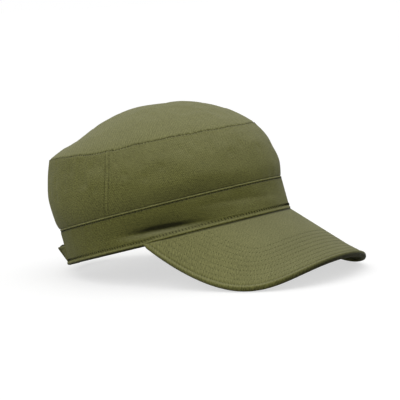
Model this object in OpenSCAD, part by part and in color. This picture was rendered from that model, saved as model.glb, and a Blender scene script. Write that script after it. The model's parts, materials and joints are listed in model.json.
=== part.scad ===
// Soft army cap in cotton twill: a domed top panel, a tall crown wall, a turned
// band, a curved bill over a stiff board, and a hook-and-loop size adjuster.
// Lengths are in millimetres. The cap is shaped upright in its own band frame:
// origin at the centre of the head opening, -Y to the bill, +X to the wearer's
// left, +Z to the crown. cap_at_rest() then leans it back so that it stands on
// the two bill lobes and the back of its band.

/* [Head opening and band] */
// Half length of the band's lower edge, front to back
band_half_length = 102.5; // [100:0.5:105]
// Half width of the band's lower edge
band_half_width = 84; // [82:0.5:86]
// Height of the band
band_h = 31; // [29:0.5:33]
// How much smaller the band's upper edge is, all round
band_taper = 1.3; // [0.8:0.1:2]
// How far the lower edge rises at the sides
side_rise = 1.4; // [0:0.2:2]
// How far the cap leans back when it stands on a table, in degrees
rest_lean = 12.7; // [11:0.1:14]

/* [Crown] */
// Half length of the seam around the top panel
seam_half_length = 92.8; // [90:0.5:96]
// Half width of the seam around the top panel
seam_half_width = 77; // [74:0.5:80]
// How far the seam's centre lies behind the band's centre
seam_shift = 3.6; // [2:0.2:5]
// Height of the seam above the band's lower edge, at the band's centre
seam_h = 84.7; // [80:0.5:90]
// Rise of the seam for each millimetre towards the back
seam_slope = 0.074; // [0:0.002:0.1]
// How far the wall swells outwards at the front
bulge_front = 4.3; // [2:0.1:6]
// How far the wall swells outwards at the back
bulge_back = 5.5; // [2:0.1:7]
// Height of the dome above its seam
dome_h = 29.9; // [24:0.5:34]
// Steepness of the dome's front edge
dome_power_front = 2.6; // [2:0.1:3]
// Steepness of the dome's back edge
dome_power_back = 1.5; // [1.3:0.1:2]
// Angle from the front to the side seams at the band, in degrees
side_seam_low = 88.2; // [84:0.2:90]
// Angle from the front to the side seams at the top panel, in degrees
side_seam_top = 79.5; // [77:0.5:84]
// Half width of the arched opening at the back
arch_half_width = 60; // [56:1:62]
// Height of the arched opening above the lower edge
arch_h = 58; // [54:1:62]

/* [Bill] */
// Length of the bill at its middle
bill_length = 72.5; // [68:0.5:76]
// Angle from the front to the bill's rear corners, in degrees
bill_half_angle = 72.5; // [70:0.5:75]
// Downward slope of the bill at its middle, in degrees
bill_slope = 39.6; // [36:0.2:42]
// Extra slope at the bill's corners, in degrees
bill_slope_gain = 3.1; // [0:0.1:5]
// How much longer the bill is towards its corners, as a share
bill_length_gain = 0.48; // [0.4:0.02:0.5]
// How high the bill's root stands above the lower edge at the middle
bill_root_rise = 3.1; // [2.5:0.1:3.5]
// Half thickness of the bill's board
board_half = 0.9; // [0.7:0.1:1]

/* [Cloth] */
// Thickness of one layer of the crown's twill
cloth = 1.1; // [0.9:0.1:1.2]
// Thickness of the doubled band
band_cloth = 1.4; // [1.2:0.1:1.5]
// Room between two layers
layer_gap = 0.35; // [0.3:0.05:0.4]
// Thickness of a tape or an interlining
tape = 0.6; // [0.5:0.1:0.7]

/* [Size adjuster] */
// Height of the two tabs
tab_h = 16.5; // [15:0.5:18]
// Outer radius of the closed tabs at their lower edge
tab_radius = 61.3; // [61:0.1:61.8]
// Distance of the tabs' centre behind the band's centre
tab_centre = 41.8; // [41.5:0.1:42.5]
// Outward lean of the tabs' upper edge, in degrees
tab_lean = 22.5; // [20:0.5:24]
// Thickness of a tab's doubled cloth
tab_cloth = 1.5; // [1.3:0.1:1.6]
// Thickness of the hook strip and of the loop strip
strip = 0.9; // [0.7:0.1:1]
// Angle from the back to where the loop tab leaves the band, in degrees
loop_root_angle = 61; // [60:0.5:61.5]
// Angle from the back to where the hook tab leaves the band, in degrees
hook_root_angle = 58; // [56:0.5:58.5]
// Angle from the back to the line on which the hook tab peels, in degrees
peel_angle = 30; // [26:1:34]
// Angle from the back to the hook tab's free end, in degrees
hook_end_angle = 42; // [38:1:46]
// Angle from the back to the loop tab's free end, in degrees
loop_end_angle = 22; // [18:1:24]

/* [Hidden] */

olive = [0.42, 0.43, 0.27];
dark_olive = [0.30, 0.31, 0.18];
board_grey = [0.62, 0.62, 0.60];
lining_white = [0.80, 0.79, 0.74];
strip_black = [0.13, 0.14, 0.11];

side_seam_gap = 0.3;
side_seam_power = 1.8;
side_tape_half_angle = 2.8;
seam_inset = 1.5;
dome_middle = -0.9;
ring_count = 48;
ring = [for (k = [0:ring_count - 1]) k * 360 / ring_count];
dome_rings = [0.12, 0.3, 0.48, 0.65, 0.8, 0.91];
back_seam_rise = 8;
back_wall_h = seam_h + back_seam_rise - band_h;
back_upright = 0.06;
wall_start = 0.012;
wall_end = 0.992;
lining_start = 0.03;
lining_end = 0.84;
buckram_half_angle = 68;
top_tape_start = 0.87;
top_tape_end = 0.96;
label_angles = [100, 116];
label_start = 0.04;
label_end = 0.45;
arch_tape_w = 7;
arch_tape_half_angle = 86;
interlining_half_angle = 124;
pad_half_angle = 126;
sweatband_half_angle = 128;
arch_power = 2.3;
under_band = band_cloth + layer_gap;
under_interlining = under_band + tape + layer_gap;
pad = 0.9;
under_pad = under_interlining + pad + layer_gap;
under_wall = cloth + layer_gap;
bill_start = 2.6;
bill_corner_power = 5;
bill_flare = 0.05;
bill_end_share = 0.985;
board_end_share = 0.92;
board_inset = 3.6;
edge_round = 2.6;
cover_gap = 0.4;
cover_edge = 0.75;
cover = 1;
peel_gap = 1.3;
tab_clear = 0.2;
tab_z = 0.4;
hook_strip_depth = tab_cloth + tab_clear / 2;
loop_strip_depth = hook_strip_depth + strip + tab_clear;
loop_tab_depth = loop_strip_depth + strip + tab_clear / 2;
strip_margin = 1.2;
tab_top = tab_z + tab_h;
peel_gap_angle = peel_gap / tab_radius * 180 / PI;
tab_end_trim = 2;

// ---- Functions that give a shape's points ----

function lerp(a, b, t) = a + (b - a) * t;
function clamp01(x) = min(1, max(0, x));
function steps(a, b, n) = [for (k = [0:n]) lerp(a, b, k / n)];
function flat_out(p) = [p.x, p.y, 0] / norm([p.x, p.y, 0]);
function back_share(phi) = (1 - cos(phi)) / 2;

// Angles run from the front, 0, to the back, 180, positive on the wearer's left.
function lower_edge(phi) =
    [band_half_width * sin(phi), -band_half_length * cos(phi), side_rise * pow(sin(phi), 2)];

function upper_edge(phi) = [
    (band_half_width - band_taper) * sin(phi),
    -(band_half_length - band_taper) * cos(phi),
    band_h
];

function seam_point(phi) =
    let (y = seam_shift - seam_half_length * cos(phi))
    [seam_half_width * sin(phi), y, seam_h + seam_slope * y];

function wall_point(phi, t) =
    let (
        q = lerp(upper_edge(phi), seam_point(phi), t),
        bulge = lerp(bulge_front, bulge_back, back_share(phi))
    )
    q + flat_out(q) * bulge * sin(180 * pow(clamp01(t), 0.8));

function side_seam(t) = lerp(side_seam_top, side_seam_low, pow(1 - clamp01(t), side_seam_power));

function dome_point(phi, r) =
    let (
        middle = [0, dome_middle, seam_h + dome_middle * seam_slope],
        power = lerp(dome_power_front, dome_power_back, back_share(phi)),
        q = lerp(middle, seam_point(phi), r)
    )
    q + [0, 0, dome_h * (1 - pow(abs(r), power))];

// The back opening: its half width at a height, and the angle of its edge there.
function arch_half(z) =
    z >= arch_h ? 0 : arch_half_width * sqrt(1 - pow(max(0, z) / arch_h, arch_power));

function arch_angle(z, half_width) = 180 - asin(arch_half(z) / half_width);

// The height of the opening's edge above a point at distance x from the middle.
function arch_height(x) =
    abs(x) >= arch_half_width
    ? 0
    : arch_h * pow(1 - pow(x / arch_half_width, 2), 1 / arch_power);

// A point of the outer skin at the back, from its distance x and its height z. It
// keeps the band's radius for a few millimetres above the band.
function back_skin(x, z) =
    let (
        t = max(0, (z - band_h) / back_wall_h - back_upright),
        half = z < band_h
            ? band_half_width - band_taper * z / band_h
            : wall_point(90, t).x,
        phi = (x < 0 ? -1 : 1) * (180 - asin(abs(x) / half)),
        above = wall_point(phi, t)
    )
    z < band_h
    ? lerp(lower_edge(phi), upper_edge(phi), z / band_h)
    : [above.x, above.y, z];

// The bill's middle skin, from the share x of its half angle and a distance l
// in front of its root.
function bill_skin(x, l) =
    let (
        phi = bill_half_angle * x,
        slope = bill_slope + bill_slope_gain * x * x,
        run = [bill_flare * sin(phi), -cos(slope), -sin(slope)]
    )
    lower_edge(phi) + [0, 0, bill_root_rise * (1 - x * x)] + run / norm(run) * l;

function bill_reach(x) =
    bill_length * (1 + bill_length_gain * x * x)
    * sqrt(1 - pow(abs(x), bill_corner_power));

// s runs from corner to corner and v from the root to the rim.
function bill_point(s, v, inset) =
    let (
        rim_x = sin(90 * s),
        rim_l = bill_reach(rim_x) - inset
    )
    bill_skin(lerp(s, rim_x, v), lerp(bill_start, rim_l, v));

// How far the covers have closed towards the rim: 0 at the rim, 1 on the flat.
function cover_open(s, v) =
    let (from_rim = (1 - v) * (bill_reach(sin(90 * s)) - bill_start))
    sqrt(1 - pow(1 - clamp01(from_rim / edge_round), 2));

function skin_normal(skin, u, v) =
    let (
        e = 0.004,
        du = skin(u + e, v) - skin(u - e, v),
        dv = skin(u, v + e) - skin(u, v - e),
        n = cross(du, dv)
    )
    n / norm(n);

// ---- Solids made from a skin ----

// A layer of cloth: the skin over us and vs, between two distances along its
// normal. far and near are functions of u and v.
module layer(skin, us, vs, far, near) {
    nu = len(us);
    nv = len(vs);
    sides = [far, near];
    points = [
        for (side = sides, u = us, v = vs)
            skin(u, v) + skin_normal(skin, u, v) * side(u, v)
    ];
    function at(side, i, j) = (side * nu + i) * nv + j;
    outer = [
        for (i = [0:nu - 2], j = [0:nv - 2], half = [0, 1])
            half == 0
            ? [at(0, i, j), at(0, i + 1, j + 1), at(0, i + 1, j)]
            : [at(0, i, j), at(0, i, j + 1), at(0, i + 1, j + 1)]
    ];
    inner = [
        for (i = [0:nu - 2], j = [0:nv - 2], half = [0, 1])
            half == 0
            ? [at(1, i, j), at(1, i + 1, j), at(1, i + 1, j + 1)]
            : [at(1, i, j), at(1, i + 1, j + 1), at(1, i, j + 1)]
    ];
    ends = [
        for (j = [0:nv - 2])
            each [
                [at(0, 0, j), at(1, 0, j), at(1, 0, j + 1)],
                [at(0, 0, j), at(1, 0, j + 1), at(0, 0, j + 1)],
                [at(0, nu - 1, j), at(1, nu - 1, j + 1), at(1, nu - 1, j)],
                [at(0, nu - 1, j), at(0, nu - 1, j + 1), at(1, nu - 1, j + 1)]
            ]
    ];
    edges = [
        for (i = [0:nu - 2])
            each [
                [at(0, i, 0), at(0, i + 1, 0), at(1, i + 1, 0)],
                [at(0, i, 0), at(1, i + 1, 0), at(1, i, 0)],
                [at(0, i, nv - 1), at(1, i + 1, nv - 1), at(0, i + 1, nv - 1)],
                [at(0, i, nv - 1), at(1, i, nv - 1), at(1, i + 1, nv - 1)]
            ]
    ];
    polyhedron(points = points, faces = concat(outer, inner, ends, edges));
}

// The same for a layer that closes on itself in u: us leaves out the repeat.
module closed_layer(skin, us, vs, far, near) {
    nu = len(us);
    nv = len(vs);
    points = [
        for (side = [far, near], u = us, v = vs)
            skin(u, v) + skin_normal(skin, u, v) * side
    ];
    function at(side, i, j) = (side * nu + i % nu) * nv + j;
    faces = [
        for (i = [0:nu - 1])
            each [
                for (j = [0:nv - 2])
                    each [
                        [at(0, i, j), at(0, i + 1, j + 1), at(0, i + 1, j)],
                        [at(0, i, j), at(0, i, j + 1), at(0, i + 1, j + 1)],
                        [at(1, i, j), at(1, i + 1, j), at(1, i + 1, j + 1)],
                        [at(1, i, j), at(1, i + 1, j + 1), at(1, i, j + 1)]
                    ]
            ]
    ];
    edges = [
        for (i = [0:nu - 1])
            each [
                [at(0, i, 0), at(0, i + 1, 0), at(1, i + 1, 0)],
                [at(0, i, 0), at(1, i + 1, 0), at(1, i, 0)],
                [at(0, i, nv - 1), at(1, i + 1, nv - 1), at(0, i + 1, nv - 1)],
                [at(0, i, nv - 1), at(1, i, nv - 1), at(1, i + 1, nv - 1)]
            ]
    ];
    polyhedron(points = points, faces = concat(faces, edges));
}

// A dome of cloth from its middle point out to the last ring.
module dome_layer(skin, us, rs, thickness) {
    nu = len(us);
    nr = len(rs);
    points = concat(
        [skin(0, 0), skin(0, 0) - [0, 0, thickness]],
        [
            for (side = [0, -thickness], u = us, r = rs)
                skin(u, r) + skin_normal(skin, u, r) * side
        ]
    );
    function at(side, i, j) = 2 + (side * nu + i % nu) * nr + j;
    caps = [
        for (i = [0:nu - 1])
            each [
                [0, at(0, i, 0), at(0, i + 1, 0)],
                [1, at(1, i + 1, 0), at(1, i, 0)]
            ]
    ];
    rings = [
        for (i = [0:nu - 1])
            each [
                for (j = [0:nr - 2])
                    each [
                        [at(0, i, j), at(0, i + 1, j + 1), at(0, i + 1, j)],
                        [at(0, i, j), at(0, i, j + 1), at(0, i + 1, j + 1)],
                        [at(1, i, j), at(1, i + 1, j), at(1, i + 1, j + 1)],
                        [at(1, i, j), at(1, i + 1, j + 1), at(1, i, j + 1)]
                    ]
            ]
    ];
    rim = [
        for (i = [0:nu - 1])
            each [
                [at(0, i, nr - 1), at(1, i + 1, nr - 1), at(0, i + 1, nr - 1)],
                [at(0, i, nr - 1), at(1, i, nr - 1), at(1, i + 1, nr - 1)]
            ]
    ];
    polyhedron(points = points, faces = concat(caps, rings, rim));
}

// Part of the cone on which the closed tabs lie, from_angle to to_angle from
// the back, between two depths under the outer face.
module tab_arc(from_angle, to_angle, outer_depth, inner_depth, z_low, z_high) {
    function face_at(z, depth) = tab_radius + z * tan(tab_lean) - depth / cos(tab_lean);
    translate([0, tab_centre, 0])
        rotate([0, 0, 90 - max(from_angle, to_angle)])
            rotate_extrude(angle = abs(to_angle - from_angle), $fn = 180)
                polygon([
                    [face_at(z_low, inner_depth), z_low],
                    [face_at(z_low, outer_depth), z_low],
                    [face_at(z_high, outer_depth), z_high],
                    [face_at(z_high, inner_depth), z_high]
                ]);
}

module cap_at_rest() {
    rotate([-rest_lean, 0, 0])
        children();
}

// ---- Crown ----

module top_panel() {
    rings = concat(dome_rings, [1 - seam_inset / seam_half_width]);
    color(olive)
        cap_at_rest()
            dome_layer(function(u, r) dome_point(-u, r), ring, rings, cloth);
}

// The front wall. u runs from seam to seam, -1 to 1.
module crown_front_panel() {
    color(olive)
        cap_at_rest()
            layer(
                function(u, v) wall_point(u * (side_seam(v) - side_seam_gap / 2), v),
                steps(-1, 1, 28),
                steps(wall_start, wall_end, 7),
                function(u, v) 0,
                function(u, v) -cloth
            );
}

// The back wall, cut away over the opening. u runs from seam to seam, -1 to 1.
module crown_back_panel() {
    function back_angle(u, t) = 180 + u * (180 - side_seam(t) - side_seam_gap / 2);
    // Share of the wall's height at which the opening's edge lies.
    function wall_low(phi) =
        let (z = arch_height((band_half_width + 2) * sin(phi)))
        max(wall_start, (z - band_h) / back_wall_h);
    function height(u, v) = lerp(wall_low(back_angle(u, 0)), wall_end, v);
    color(olive)
        cap_at_rest()
            layer(
                function(u, v) wall_point(back_angle(u, height(u, v)), height(u, v)),
                steps(-1, 1, 34),
                steps(0, 1, 7),
                function(u, v) 0,
                function(u, v) -cloth
            );
}

module front_buckram() {
    color(lining_white)
        cap_at_rest()
            layer(
                function(u, v) wall_point(u, v),
                steps(-buckram_half_angle, buckram_half_angle, 22),
                steps(lining_start, lining_end, 5),
                function(u, v) -under_wall,
                function(u, v) -under_wall - tape
            );
}

module top_seam_tape() {
    color(dark_olive)
        cap_at_rest()
            closed_layer(
                function(u, v) wall_point(u, v),
                ring,
                [top_tape_start, top_tape_end],
                -under_wall,
                -under_wall - tape
            );
}

module side_seam_tapes() {
    color(dark_olive)
        cap_at_rest()
            for (side = [-1, 1])
                layer(
                    function(u, v) wall_point(side * side_seam(v) + u, v),
                    steps(-side_tape_half_angle, side_tape_half_angle, 2),
                    steps(lining_start, lining_end, 6),
                    function(u, v) -under_wall,
                    function(u, v) -under_wall - tape
                );
}

// A blank label that hangs from the band's seam inside the crown.
module care_label() {
    color(lining_white)
        cap_at_rest()
            layer(
                function(u, v) wall_point(u, v),
                steps(label_angles[0], label_angles[1], 4),
                steps(label_start, label_end, 3),
                function(u, v) -under_wall,
                function(u, v) -under_wall - tape / 2
            );
}

// Tape that binds the opening's edge on the inside.
module arch_binding() {
    color(dark_olive)
        cap_at_rest()
            layer(
                function(u, v) back_skin(
                    -(arch_half_width + v * arch_tape_w) * sin(u),
                    (arch_h + v * arch_tape_w) * pow(cos(u), 2 / arch_power)
                ),
                steps(-arch_tape_half_angle, arch_tape_half_angle, 36),
                [0.05, 1],
                function(u, v) -under_band - layer_gap,
                function(u, v) -under_band - layer_gap - tape
            );
}

// ---- Band ----

// The band's skin from its lower edge, v 0, to its upper edge, v 1.
function band_skin(phi, v) = lerp(lower_edge(phi), upper_edge(phi), v);

module outer_band() {
    color(olive)
        cap_at_rest()
            layer(
                function(u, v) band_skin(u * arch_angle(v * band_h, band_half_width), v),
                steps(-1, 1, 48),
                steps(0, 1, 4),
                function(u, v) 0,
                function(u, v) -band_cloth
            );
}

module band_interlining() {
    color(lining_white)
        cap_at_rest()
            layer(
                function(u, v) band_skin(u, v),
                steps(-interlining_half_angle, interlining_half_angle, 42),
                steps(0.06, 0.94, 2),
                function(u, v) -under_band,
                function(u, v) -under_band - tape
            );
}

module sweatband_pad() {
    color(lining_white)
        cap_at_rest()
            layer(
                function(u, v) band_skin(u, v),
                steps(-pad_half_angle, pad_half_angle, 42),
                steps(0.1, 0.9, 2),
                function(u, v) -under_interlining,
                function(u, v) -under_interlining - pad
            );
}

module sweatband() {
    color(olive)
        cap_at_rest()
            layer(
                function(u, v) band_skin(u, v),
                steps(-sweatband_half_angle, sweatband_half_angle, 43),
                steps(0.02, 0.97, 3),
                function(u, v) -under_pad,
                function(u, v) -under_pad - cloth
            );
}

// ---- Bill ----

// Both covers close towards the rim. side is 1 above the board and -1 below it.
module bill_cover(side) {
    flat_outer = board_half + cover_gap + cover;
    function outer_face(s, v) = lerp(cover_edge, flat_outer, cover_open(s, v));
    function inner_face(s, v) = cover_gap + board_half * cover_open(s, v);
    spread = steps(-bill_end_share, bill_end_share, 34);
    rows = [0, 0.2, 0.4, 0.6, 0.78, 0.9, 0.965, 0.99, 1];
    layer(
        function(s, v) bill_point(s, v, 0),
        spread,
        rows,
        side > 0 ? function(s, v) outer_face(s, v) : function(s, v) -inner_face(s, v),
        side > 0 ? function(s, v) inner_face(s, v) : function(s, v) -outer_face(s, v)
    );
}

module bill_top_cover() {
    color(olive)
        cap_at_rest()
            bill_cover(1);
}

module bill_under_cover() {
    color(olive)
        cap_at_rest()
            bill_cover(-1);
}

module bill_board() {
    color(board_grey)
        cap_at_rest()
            layer(
                function(s, v) bill_point(s, v, board_inset),
                steps(-board_end_share, board_end_share, 28),
                steps(0, 1, 6),
                function(s, v) board_half,
                function(s, v) -board_half
            );
}

// ---- Size adjuster ----

// The inner tab, sewn to the wearer's right end of the band.
module loop_tab() {
    color(olive)
        cap_at_rest()
            tab_arc(
                -loop_root_angle,
                loop_end_angle,
                loop_tab_depth,
                loop_tab_depth + tab_cloth,
                tab_z,
                tab_top
            );
}

module loop_strip() {
    color(strip_black)
        cap_at_rest()
            tab_arc(
                -hook_end_angle - tab_end_trim,
                loop_end_angle - tab_end_trim,
                loop_strip_depth,
                loop_strip_depth + strip,
                tab_z + strip_margin,
                tab_top - strip_margin
            );
}

// The outer tab's sewn end, on the wearer's left.
module tab_base() {
    color(olive)
        cap_at_rest()
            tab_arc(peel_angle + peel_gap_angle, hook_root_angle, 0, tab_cloth, tab_z, tab_top);
}

module hook_tab() {
    color(olive)
        cap_at_rest()
            tab_arc(-hook_end_angle, peel_angle - peel_gap_angle, 0, tab_cloth, tab_z, tab_top);
}

module hook_strip() {
    color(strip_black)
        cap_at_rest()
            tab_arc(
                -hook_end_angle + tab_end_trim,
                loop_end_angle - tab_end_trim,
                hook_strip_depth,
                hook_strip_depth + strip,
                tab_z + strip_margin,
                tab_top - strip_margin
            );
}

top_panel();
crown_front_panel();
crown_back_panel();
front_buckram();
top_seam_tape();
side_seam_tapes();
outer_band();
band_interlining();
sweatband();
sweatband_pad();
arch_binding();
care_label();
bill_top_cover();
bill_under_cover();
bill_board();
loop_tab();
loop_strip();
tab_base();
hook_tab();
hook_strip();
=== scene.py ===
"""Looks of the soft army cap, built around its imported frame.

Shapes are worked out in millimetres in the cap's own upright frame, as in the CAD: origin at the centre
of the head opening, -Y to the bill, +X to the wearer's left, +Z to the crown. to_row() leans them back
into the row frame and turns them into metres. Angles run round the cap from 0 at the front to 180 degrees
at the back, positive on the wearer's left.
"""

import json
import math

import bpy
import numpy as np
from mathutils import Matrix, Vector


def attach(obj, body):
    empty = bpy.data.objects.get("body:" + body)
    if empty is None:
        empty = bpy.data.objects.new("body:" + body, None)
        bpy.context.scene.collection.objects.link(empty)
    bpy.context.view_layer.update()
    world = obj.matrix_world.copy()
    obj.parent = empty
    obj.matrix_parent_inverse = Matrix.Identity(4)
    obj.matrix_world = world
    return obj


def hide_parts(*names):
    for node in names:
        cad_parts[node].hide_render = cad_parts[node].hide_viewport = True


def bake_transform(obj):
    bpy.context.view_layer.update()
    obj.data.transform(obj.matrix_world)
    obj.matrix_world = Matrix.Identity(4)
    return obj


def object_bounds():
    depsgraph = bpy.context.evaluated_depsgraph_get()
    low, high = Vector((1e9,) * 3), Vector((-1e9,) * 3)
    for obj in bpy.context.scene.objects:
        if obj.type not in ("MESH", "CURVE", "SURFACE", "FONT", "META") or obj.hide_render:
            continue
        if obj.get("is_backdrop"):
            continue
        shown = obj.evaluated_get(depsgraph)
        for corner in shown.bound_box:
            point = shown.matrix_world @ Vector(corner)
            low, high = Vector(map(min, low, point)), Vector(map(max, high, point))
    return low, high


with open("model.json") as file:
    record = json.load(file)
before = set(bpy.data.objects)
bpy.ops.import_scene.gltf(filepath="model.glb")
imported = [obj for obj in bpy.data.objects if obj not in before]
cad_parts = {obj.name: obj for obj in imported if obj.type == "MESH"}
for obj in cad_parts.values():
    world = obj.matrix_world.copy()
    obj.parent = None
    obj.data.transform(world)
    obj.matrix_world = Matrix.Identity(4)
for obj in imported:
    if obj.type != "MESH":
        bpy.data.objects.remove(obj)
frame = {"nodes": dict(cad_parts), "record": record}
cad_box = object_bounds()

MM = 0.001
DEG = math.pi / 180


# ---- The frame's sizes ----


def lean_matrix():
    """Turns the cap's upright frame into the row frame, from the axis along which a head leaves the cap."""
    mount = next(m for m in frame["record"]["mounts"] if m["name"] == "head_opening")
    down = Vector(mount["axis"])
    lean = math.atan2(-down.y, -down.z)
    return np.array(Matrix.Rotation(-lean, 3, "X"))


LEAN = lean_matrix()


def to_row(points):
    return np.asarray(points) @ LEAN.T * MM


def cad(node):
    """A CAD node's corner points in the cap's upright frame, in millimetres."""
    points = np.array([v.co for v in frame["nodes"][node].data.vertices], float)
    return points @ LEAN / MM


def middle(points, half=0.5):
    return points[np.abs(points[:, 0]) < half]


SIDE_GAP = 0.15
SIDE_POWER = 1.8

# How near a corner point has to be to count as part of an edge, in millimetres.
NEAR_FOLD = 0.1
NEAR_TOP = 0.4
NEAR_SEAM = 0.8
NEAR_FOOT = 1.0
NEAR_MIDDLE = 0.05
FRONT_REACH = 22
DOME_ZONE = (0.25, 0.85)


class Shape:
    """The driving sizes, measured on the CAD nodes."""

    def __init__(self):
        self.measure_band(cad("outer_band"))
        self.measure_wall(cad("crown_front_panel"), middle(cad("crown_back_panel")))
        self.measure_dome(middle(cad("top_panel"), NEAR_MIDDLE))

    def measure_band(self, band):
        self.half_w = np.abs(band[:, 0]).max()
        self.half_l = -band[:, 1].min()
        self.band_h = band[:, 2].max()
        upper = band[band[:, 2] > self.band_h - NEAR_FOLD]
        self.taper = self.half_w - np.abs(upper[:, 0]).max()
        self.rise = band[np.abs(band[:, 0]) > 0.99 * self.half_w][:, 2].min()

    def measure_wall(self, front, back_line):
        front_line = middle(front)
        front_top = front_line[front_line[:, 1] < front_line[:, 1].min() + FRONT_REACH]
        front_top = front_top[front_top[:, 2] > front_top[:, 2].max() - NEAR_TOP]
        front_top = front_top[front_top[:, 1].argmin()]
        back_top = back_line[back_line[:, 2] > back_line[:, 2].max() - NEAR_TOP]
        back_top = back_top[back_top[:, 1].argmax()]
        self.seam_l = (back_top[1] - front_top[1]) / 2
        self.seam_y = (back_top[1] + front_top[1]) / 2
        self.seam_slope = (back_top[2] - front_top[2]) / (back_top[1] - front_top[1])
        self.seam_h = front_top[2] - self.seam_slope * front_top[1]
        corner = front[self.above_seam(front) > -NEAR_SEAM]
        corner = corner[np.abs(corner[:, 0]).argmax()]
        self.side_top = math.acos((self.seam_y - corner[1]) / self.seam_l) / DEG + SIDE_GAP
        self.seam_w = abs(corner[0]) / math.sin(self.side_top * DEG)
        foot = front[front[:, 2] < self.band_h + NEAR_FOOT]
        foot_angle = np.arctan2(np.abs(foot[:, 0]) / self.half_w, -foot[:, 1] / self.half_l)
        self.side_low = foot_angle.max() / DEG + SIDE_GAP
        self.bulge_front = self.swell(front_line, -self.half_l + self.taper, front_top, -1)
        self.bulge_back = self.swell(back_line, self.half_l - self.taper, back_top, 1)

    def measure_dome(self, dome):
        self.dome_y = dome[np.hypot(dome[:, 0], dome[:, 1] + 1).argmin()][1]
        centre = dome[np.abs(dome[:, 1] - self.dome_y) < 0.01][:, 2].max()
        self.dome_h = centre - self.seam_h - self.seam_slope * self.dome_y
        self.power_front = self.dome_power(dome, self.seam_y - self.seam_l)
        self.power_back = self.dome_power(dome, self.seam_y + self.seam_l)

    def above_seam(self, points):
        return points[:, 2] - self.seam_h - self.seam_slope * points[:, 1]

    def swell(self, line, low_y, top, side):
        t = (line[:, 2] - self.band_h) / (top[2] - self.band_h)
        chord = low_y + (top[1] - low_y) * t
        return (side * (line[:, 1] - chord)).max()

    def dome_power(self, dome, edge_y):
        share = (dome[:, 1] - self.dome_y) / (edge_y - self.dome_y)
        zone = (share > DOME_ZONE[0]) & (share < DOME_ZONE[1])
        height = self.above_seam(dome[zone]) / self.dome_h
        return (np.log(1 - height.clip(0, 0.999)) / np.log(share[zone])).max()


S = Shape()

# The bill's and the opening's shapes are rules of the design, with the same numbers as in the CAD.
BILL_HALF_ANGLE = 72.5
BILL_LENGTH = 72.5
BILL_LENGTH_GAIN = 0.48
BILL_CORNER_POWER = 5
BILL_SLOPE = 39.6
BILL_SLOPE_GAIN = 3.1
BILL_ROOT_RISE = 3.1
BILL_FLARE = 0.05
ARCH_HALF_WIDTH = 60
ARCH_H = 58
ARCH_POWER = 2.3
WALL_BULGE_POWER = 0.8

# The adjuster's closed tabs lie on a cone about a line behind the band's centre.
TAB_RADIUS = 61.3
TAB_CENTRE = 41.8
TAB_LEAN = math.tan(22.5 * DEG)
TAB_LOW = 0.4
TAB_HIGH = 16.9

# Thicknesses of the cloth.
CLOTH = 1.1
BAND_CLOTH = 1.4
TAPE = 0.6
PAD = 0.9
GAP = 0.35
UNDER_WALL = CLOTH + GAP
UNDER_BAND = BAND_CLOTH + GAP
UNDER_INTERLINING = UNDER_BAND + TAPE + GAP
UNDER_PAD = UNDER_INTERLINING + PAD + GAP
UNDER_SWEATBAND = UNDER_PAD + CLOTH

# Round lengths, used for the spacing of points and the run of the weave.
WALL_RUN = 56
BAND_RUN = 31
BAND_RADIUS = 93
TOP_RUN = 84


# ---- Small maths ----


def unit(v):
    return v / np.linalg.norm(v, axis=-1, keepdims=True)


def lerp(a, b, t):
    return a + (b - a) * t


def smooth(a, b, x):
    t = np.clip((x - a) / (b - a), 0, 1)
    return t * t * (3 - 2 * t)


def hump(x, centre, width):
    """1 at the centre, and almost 0 beyond twice the width."""
    return np.exp(-(((x - centre) / width) ** 2))


def quarter(d, radius):
    """A quarter circle: 0 from the radius on, rising to 1 with an upright end at d = 0."""
    t = 1 - np.clip(d / radius, 0, 1)
    return 1 - np.sqrt(1 - t * t)


def sin_deg(angle):
    return np.sin(angle * DEG)


def cos_deg(angle):
    return np.cos(angle * DEG)


def stack(x, y, z=0):
    return np.stack(np.broadcast_arrays(x, y, z), -1).astype(float)


def level(depth):
    """A face that lies at one depth under its skin everywhere."""
    return lambda u, v: np.full(np.broadcast(u, v).shape, -float(depth))


def signed(phi):
    """The same angle between -180 and 180 degrees."""
    return np.where(phi > 180, phi - 360, phi)


def ring_ripple(phi, count, seed, waves=5):
    """A smooth irregular wave round the cap, with about count crests in a full turn."""
    draw = np.random.default_rng(seed)
    total = 0
    for _ in range(waves):
        crests = round(count * draw.uniform(0.6, 1.6))
        total = total + np.sin(crests * phi * DEG + draw.uniform(0, 2 * math.pi))
    return total / math.sqrt(waves)


def patches(x, y, size, seed, waves=7):
    """A smooth irregular field over a plane, with patches of about the given size."""
    draw = np.random.default_rng(seed)
    total = 0
    for _ in range(waves):
        heading = draw.uniform(0, 2 * math.pi)
        length = size * draw.uniform(0.7, 1.7)
        along = x * math.cos(heading) + y * math.sin(heading)
        total = total + np.sin(2 * math.pi * along / length + draw.uniform(0, 2 * math.pi))
    return total / math.sqrt(waves)


def spaced(length, rim, fine, zone, coarse):
    """Shares of a length, from 0 to 1: closest at the two ends, where the cloth's edge is rounded, fine
    over the zone next to them and coarse between."""
    edge = rim * np.array([0, 0.06, 0.22, 0.5, 0.85])
    near = np.arange(rim * 1.25, zone, fine)
    ends = np.concatenate([edge, near])
    count = max(2, int((length - 2 * ends[-1]) / coarse))
    between = np.linspace(ends[-1], length - ends[-1], count + 1)[1:-1]
    return np.concatenate([ends, between, length - ends[::-1]]) / length


def nearest(points, line):
    """Distance from each point to the closest point of a dense line."""
    flat = points.reshape(-1, 3)
    best = np.empty(len(flat))
    block = 4096
    for start in range(0, len(flat), block):
        gap = flat[start : start + block, None, :] - line[None, :, :]
        best[start : start + block] = np.sqrt((gap**2).sum(-1).min(1))
    return best.reshape(points.shape[:-1])


# ---- Skins: a point of a surface for two parameters ----


def flat_out(points):
    return unit(points * np.array([1.0, 1.0, 0.0]))


def back_share(phi):
    return (1 - cos_deg(phi)) / 2


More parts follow.
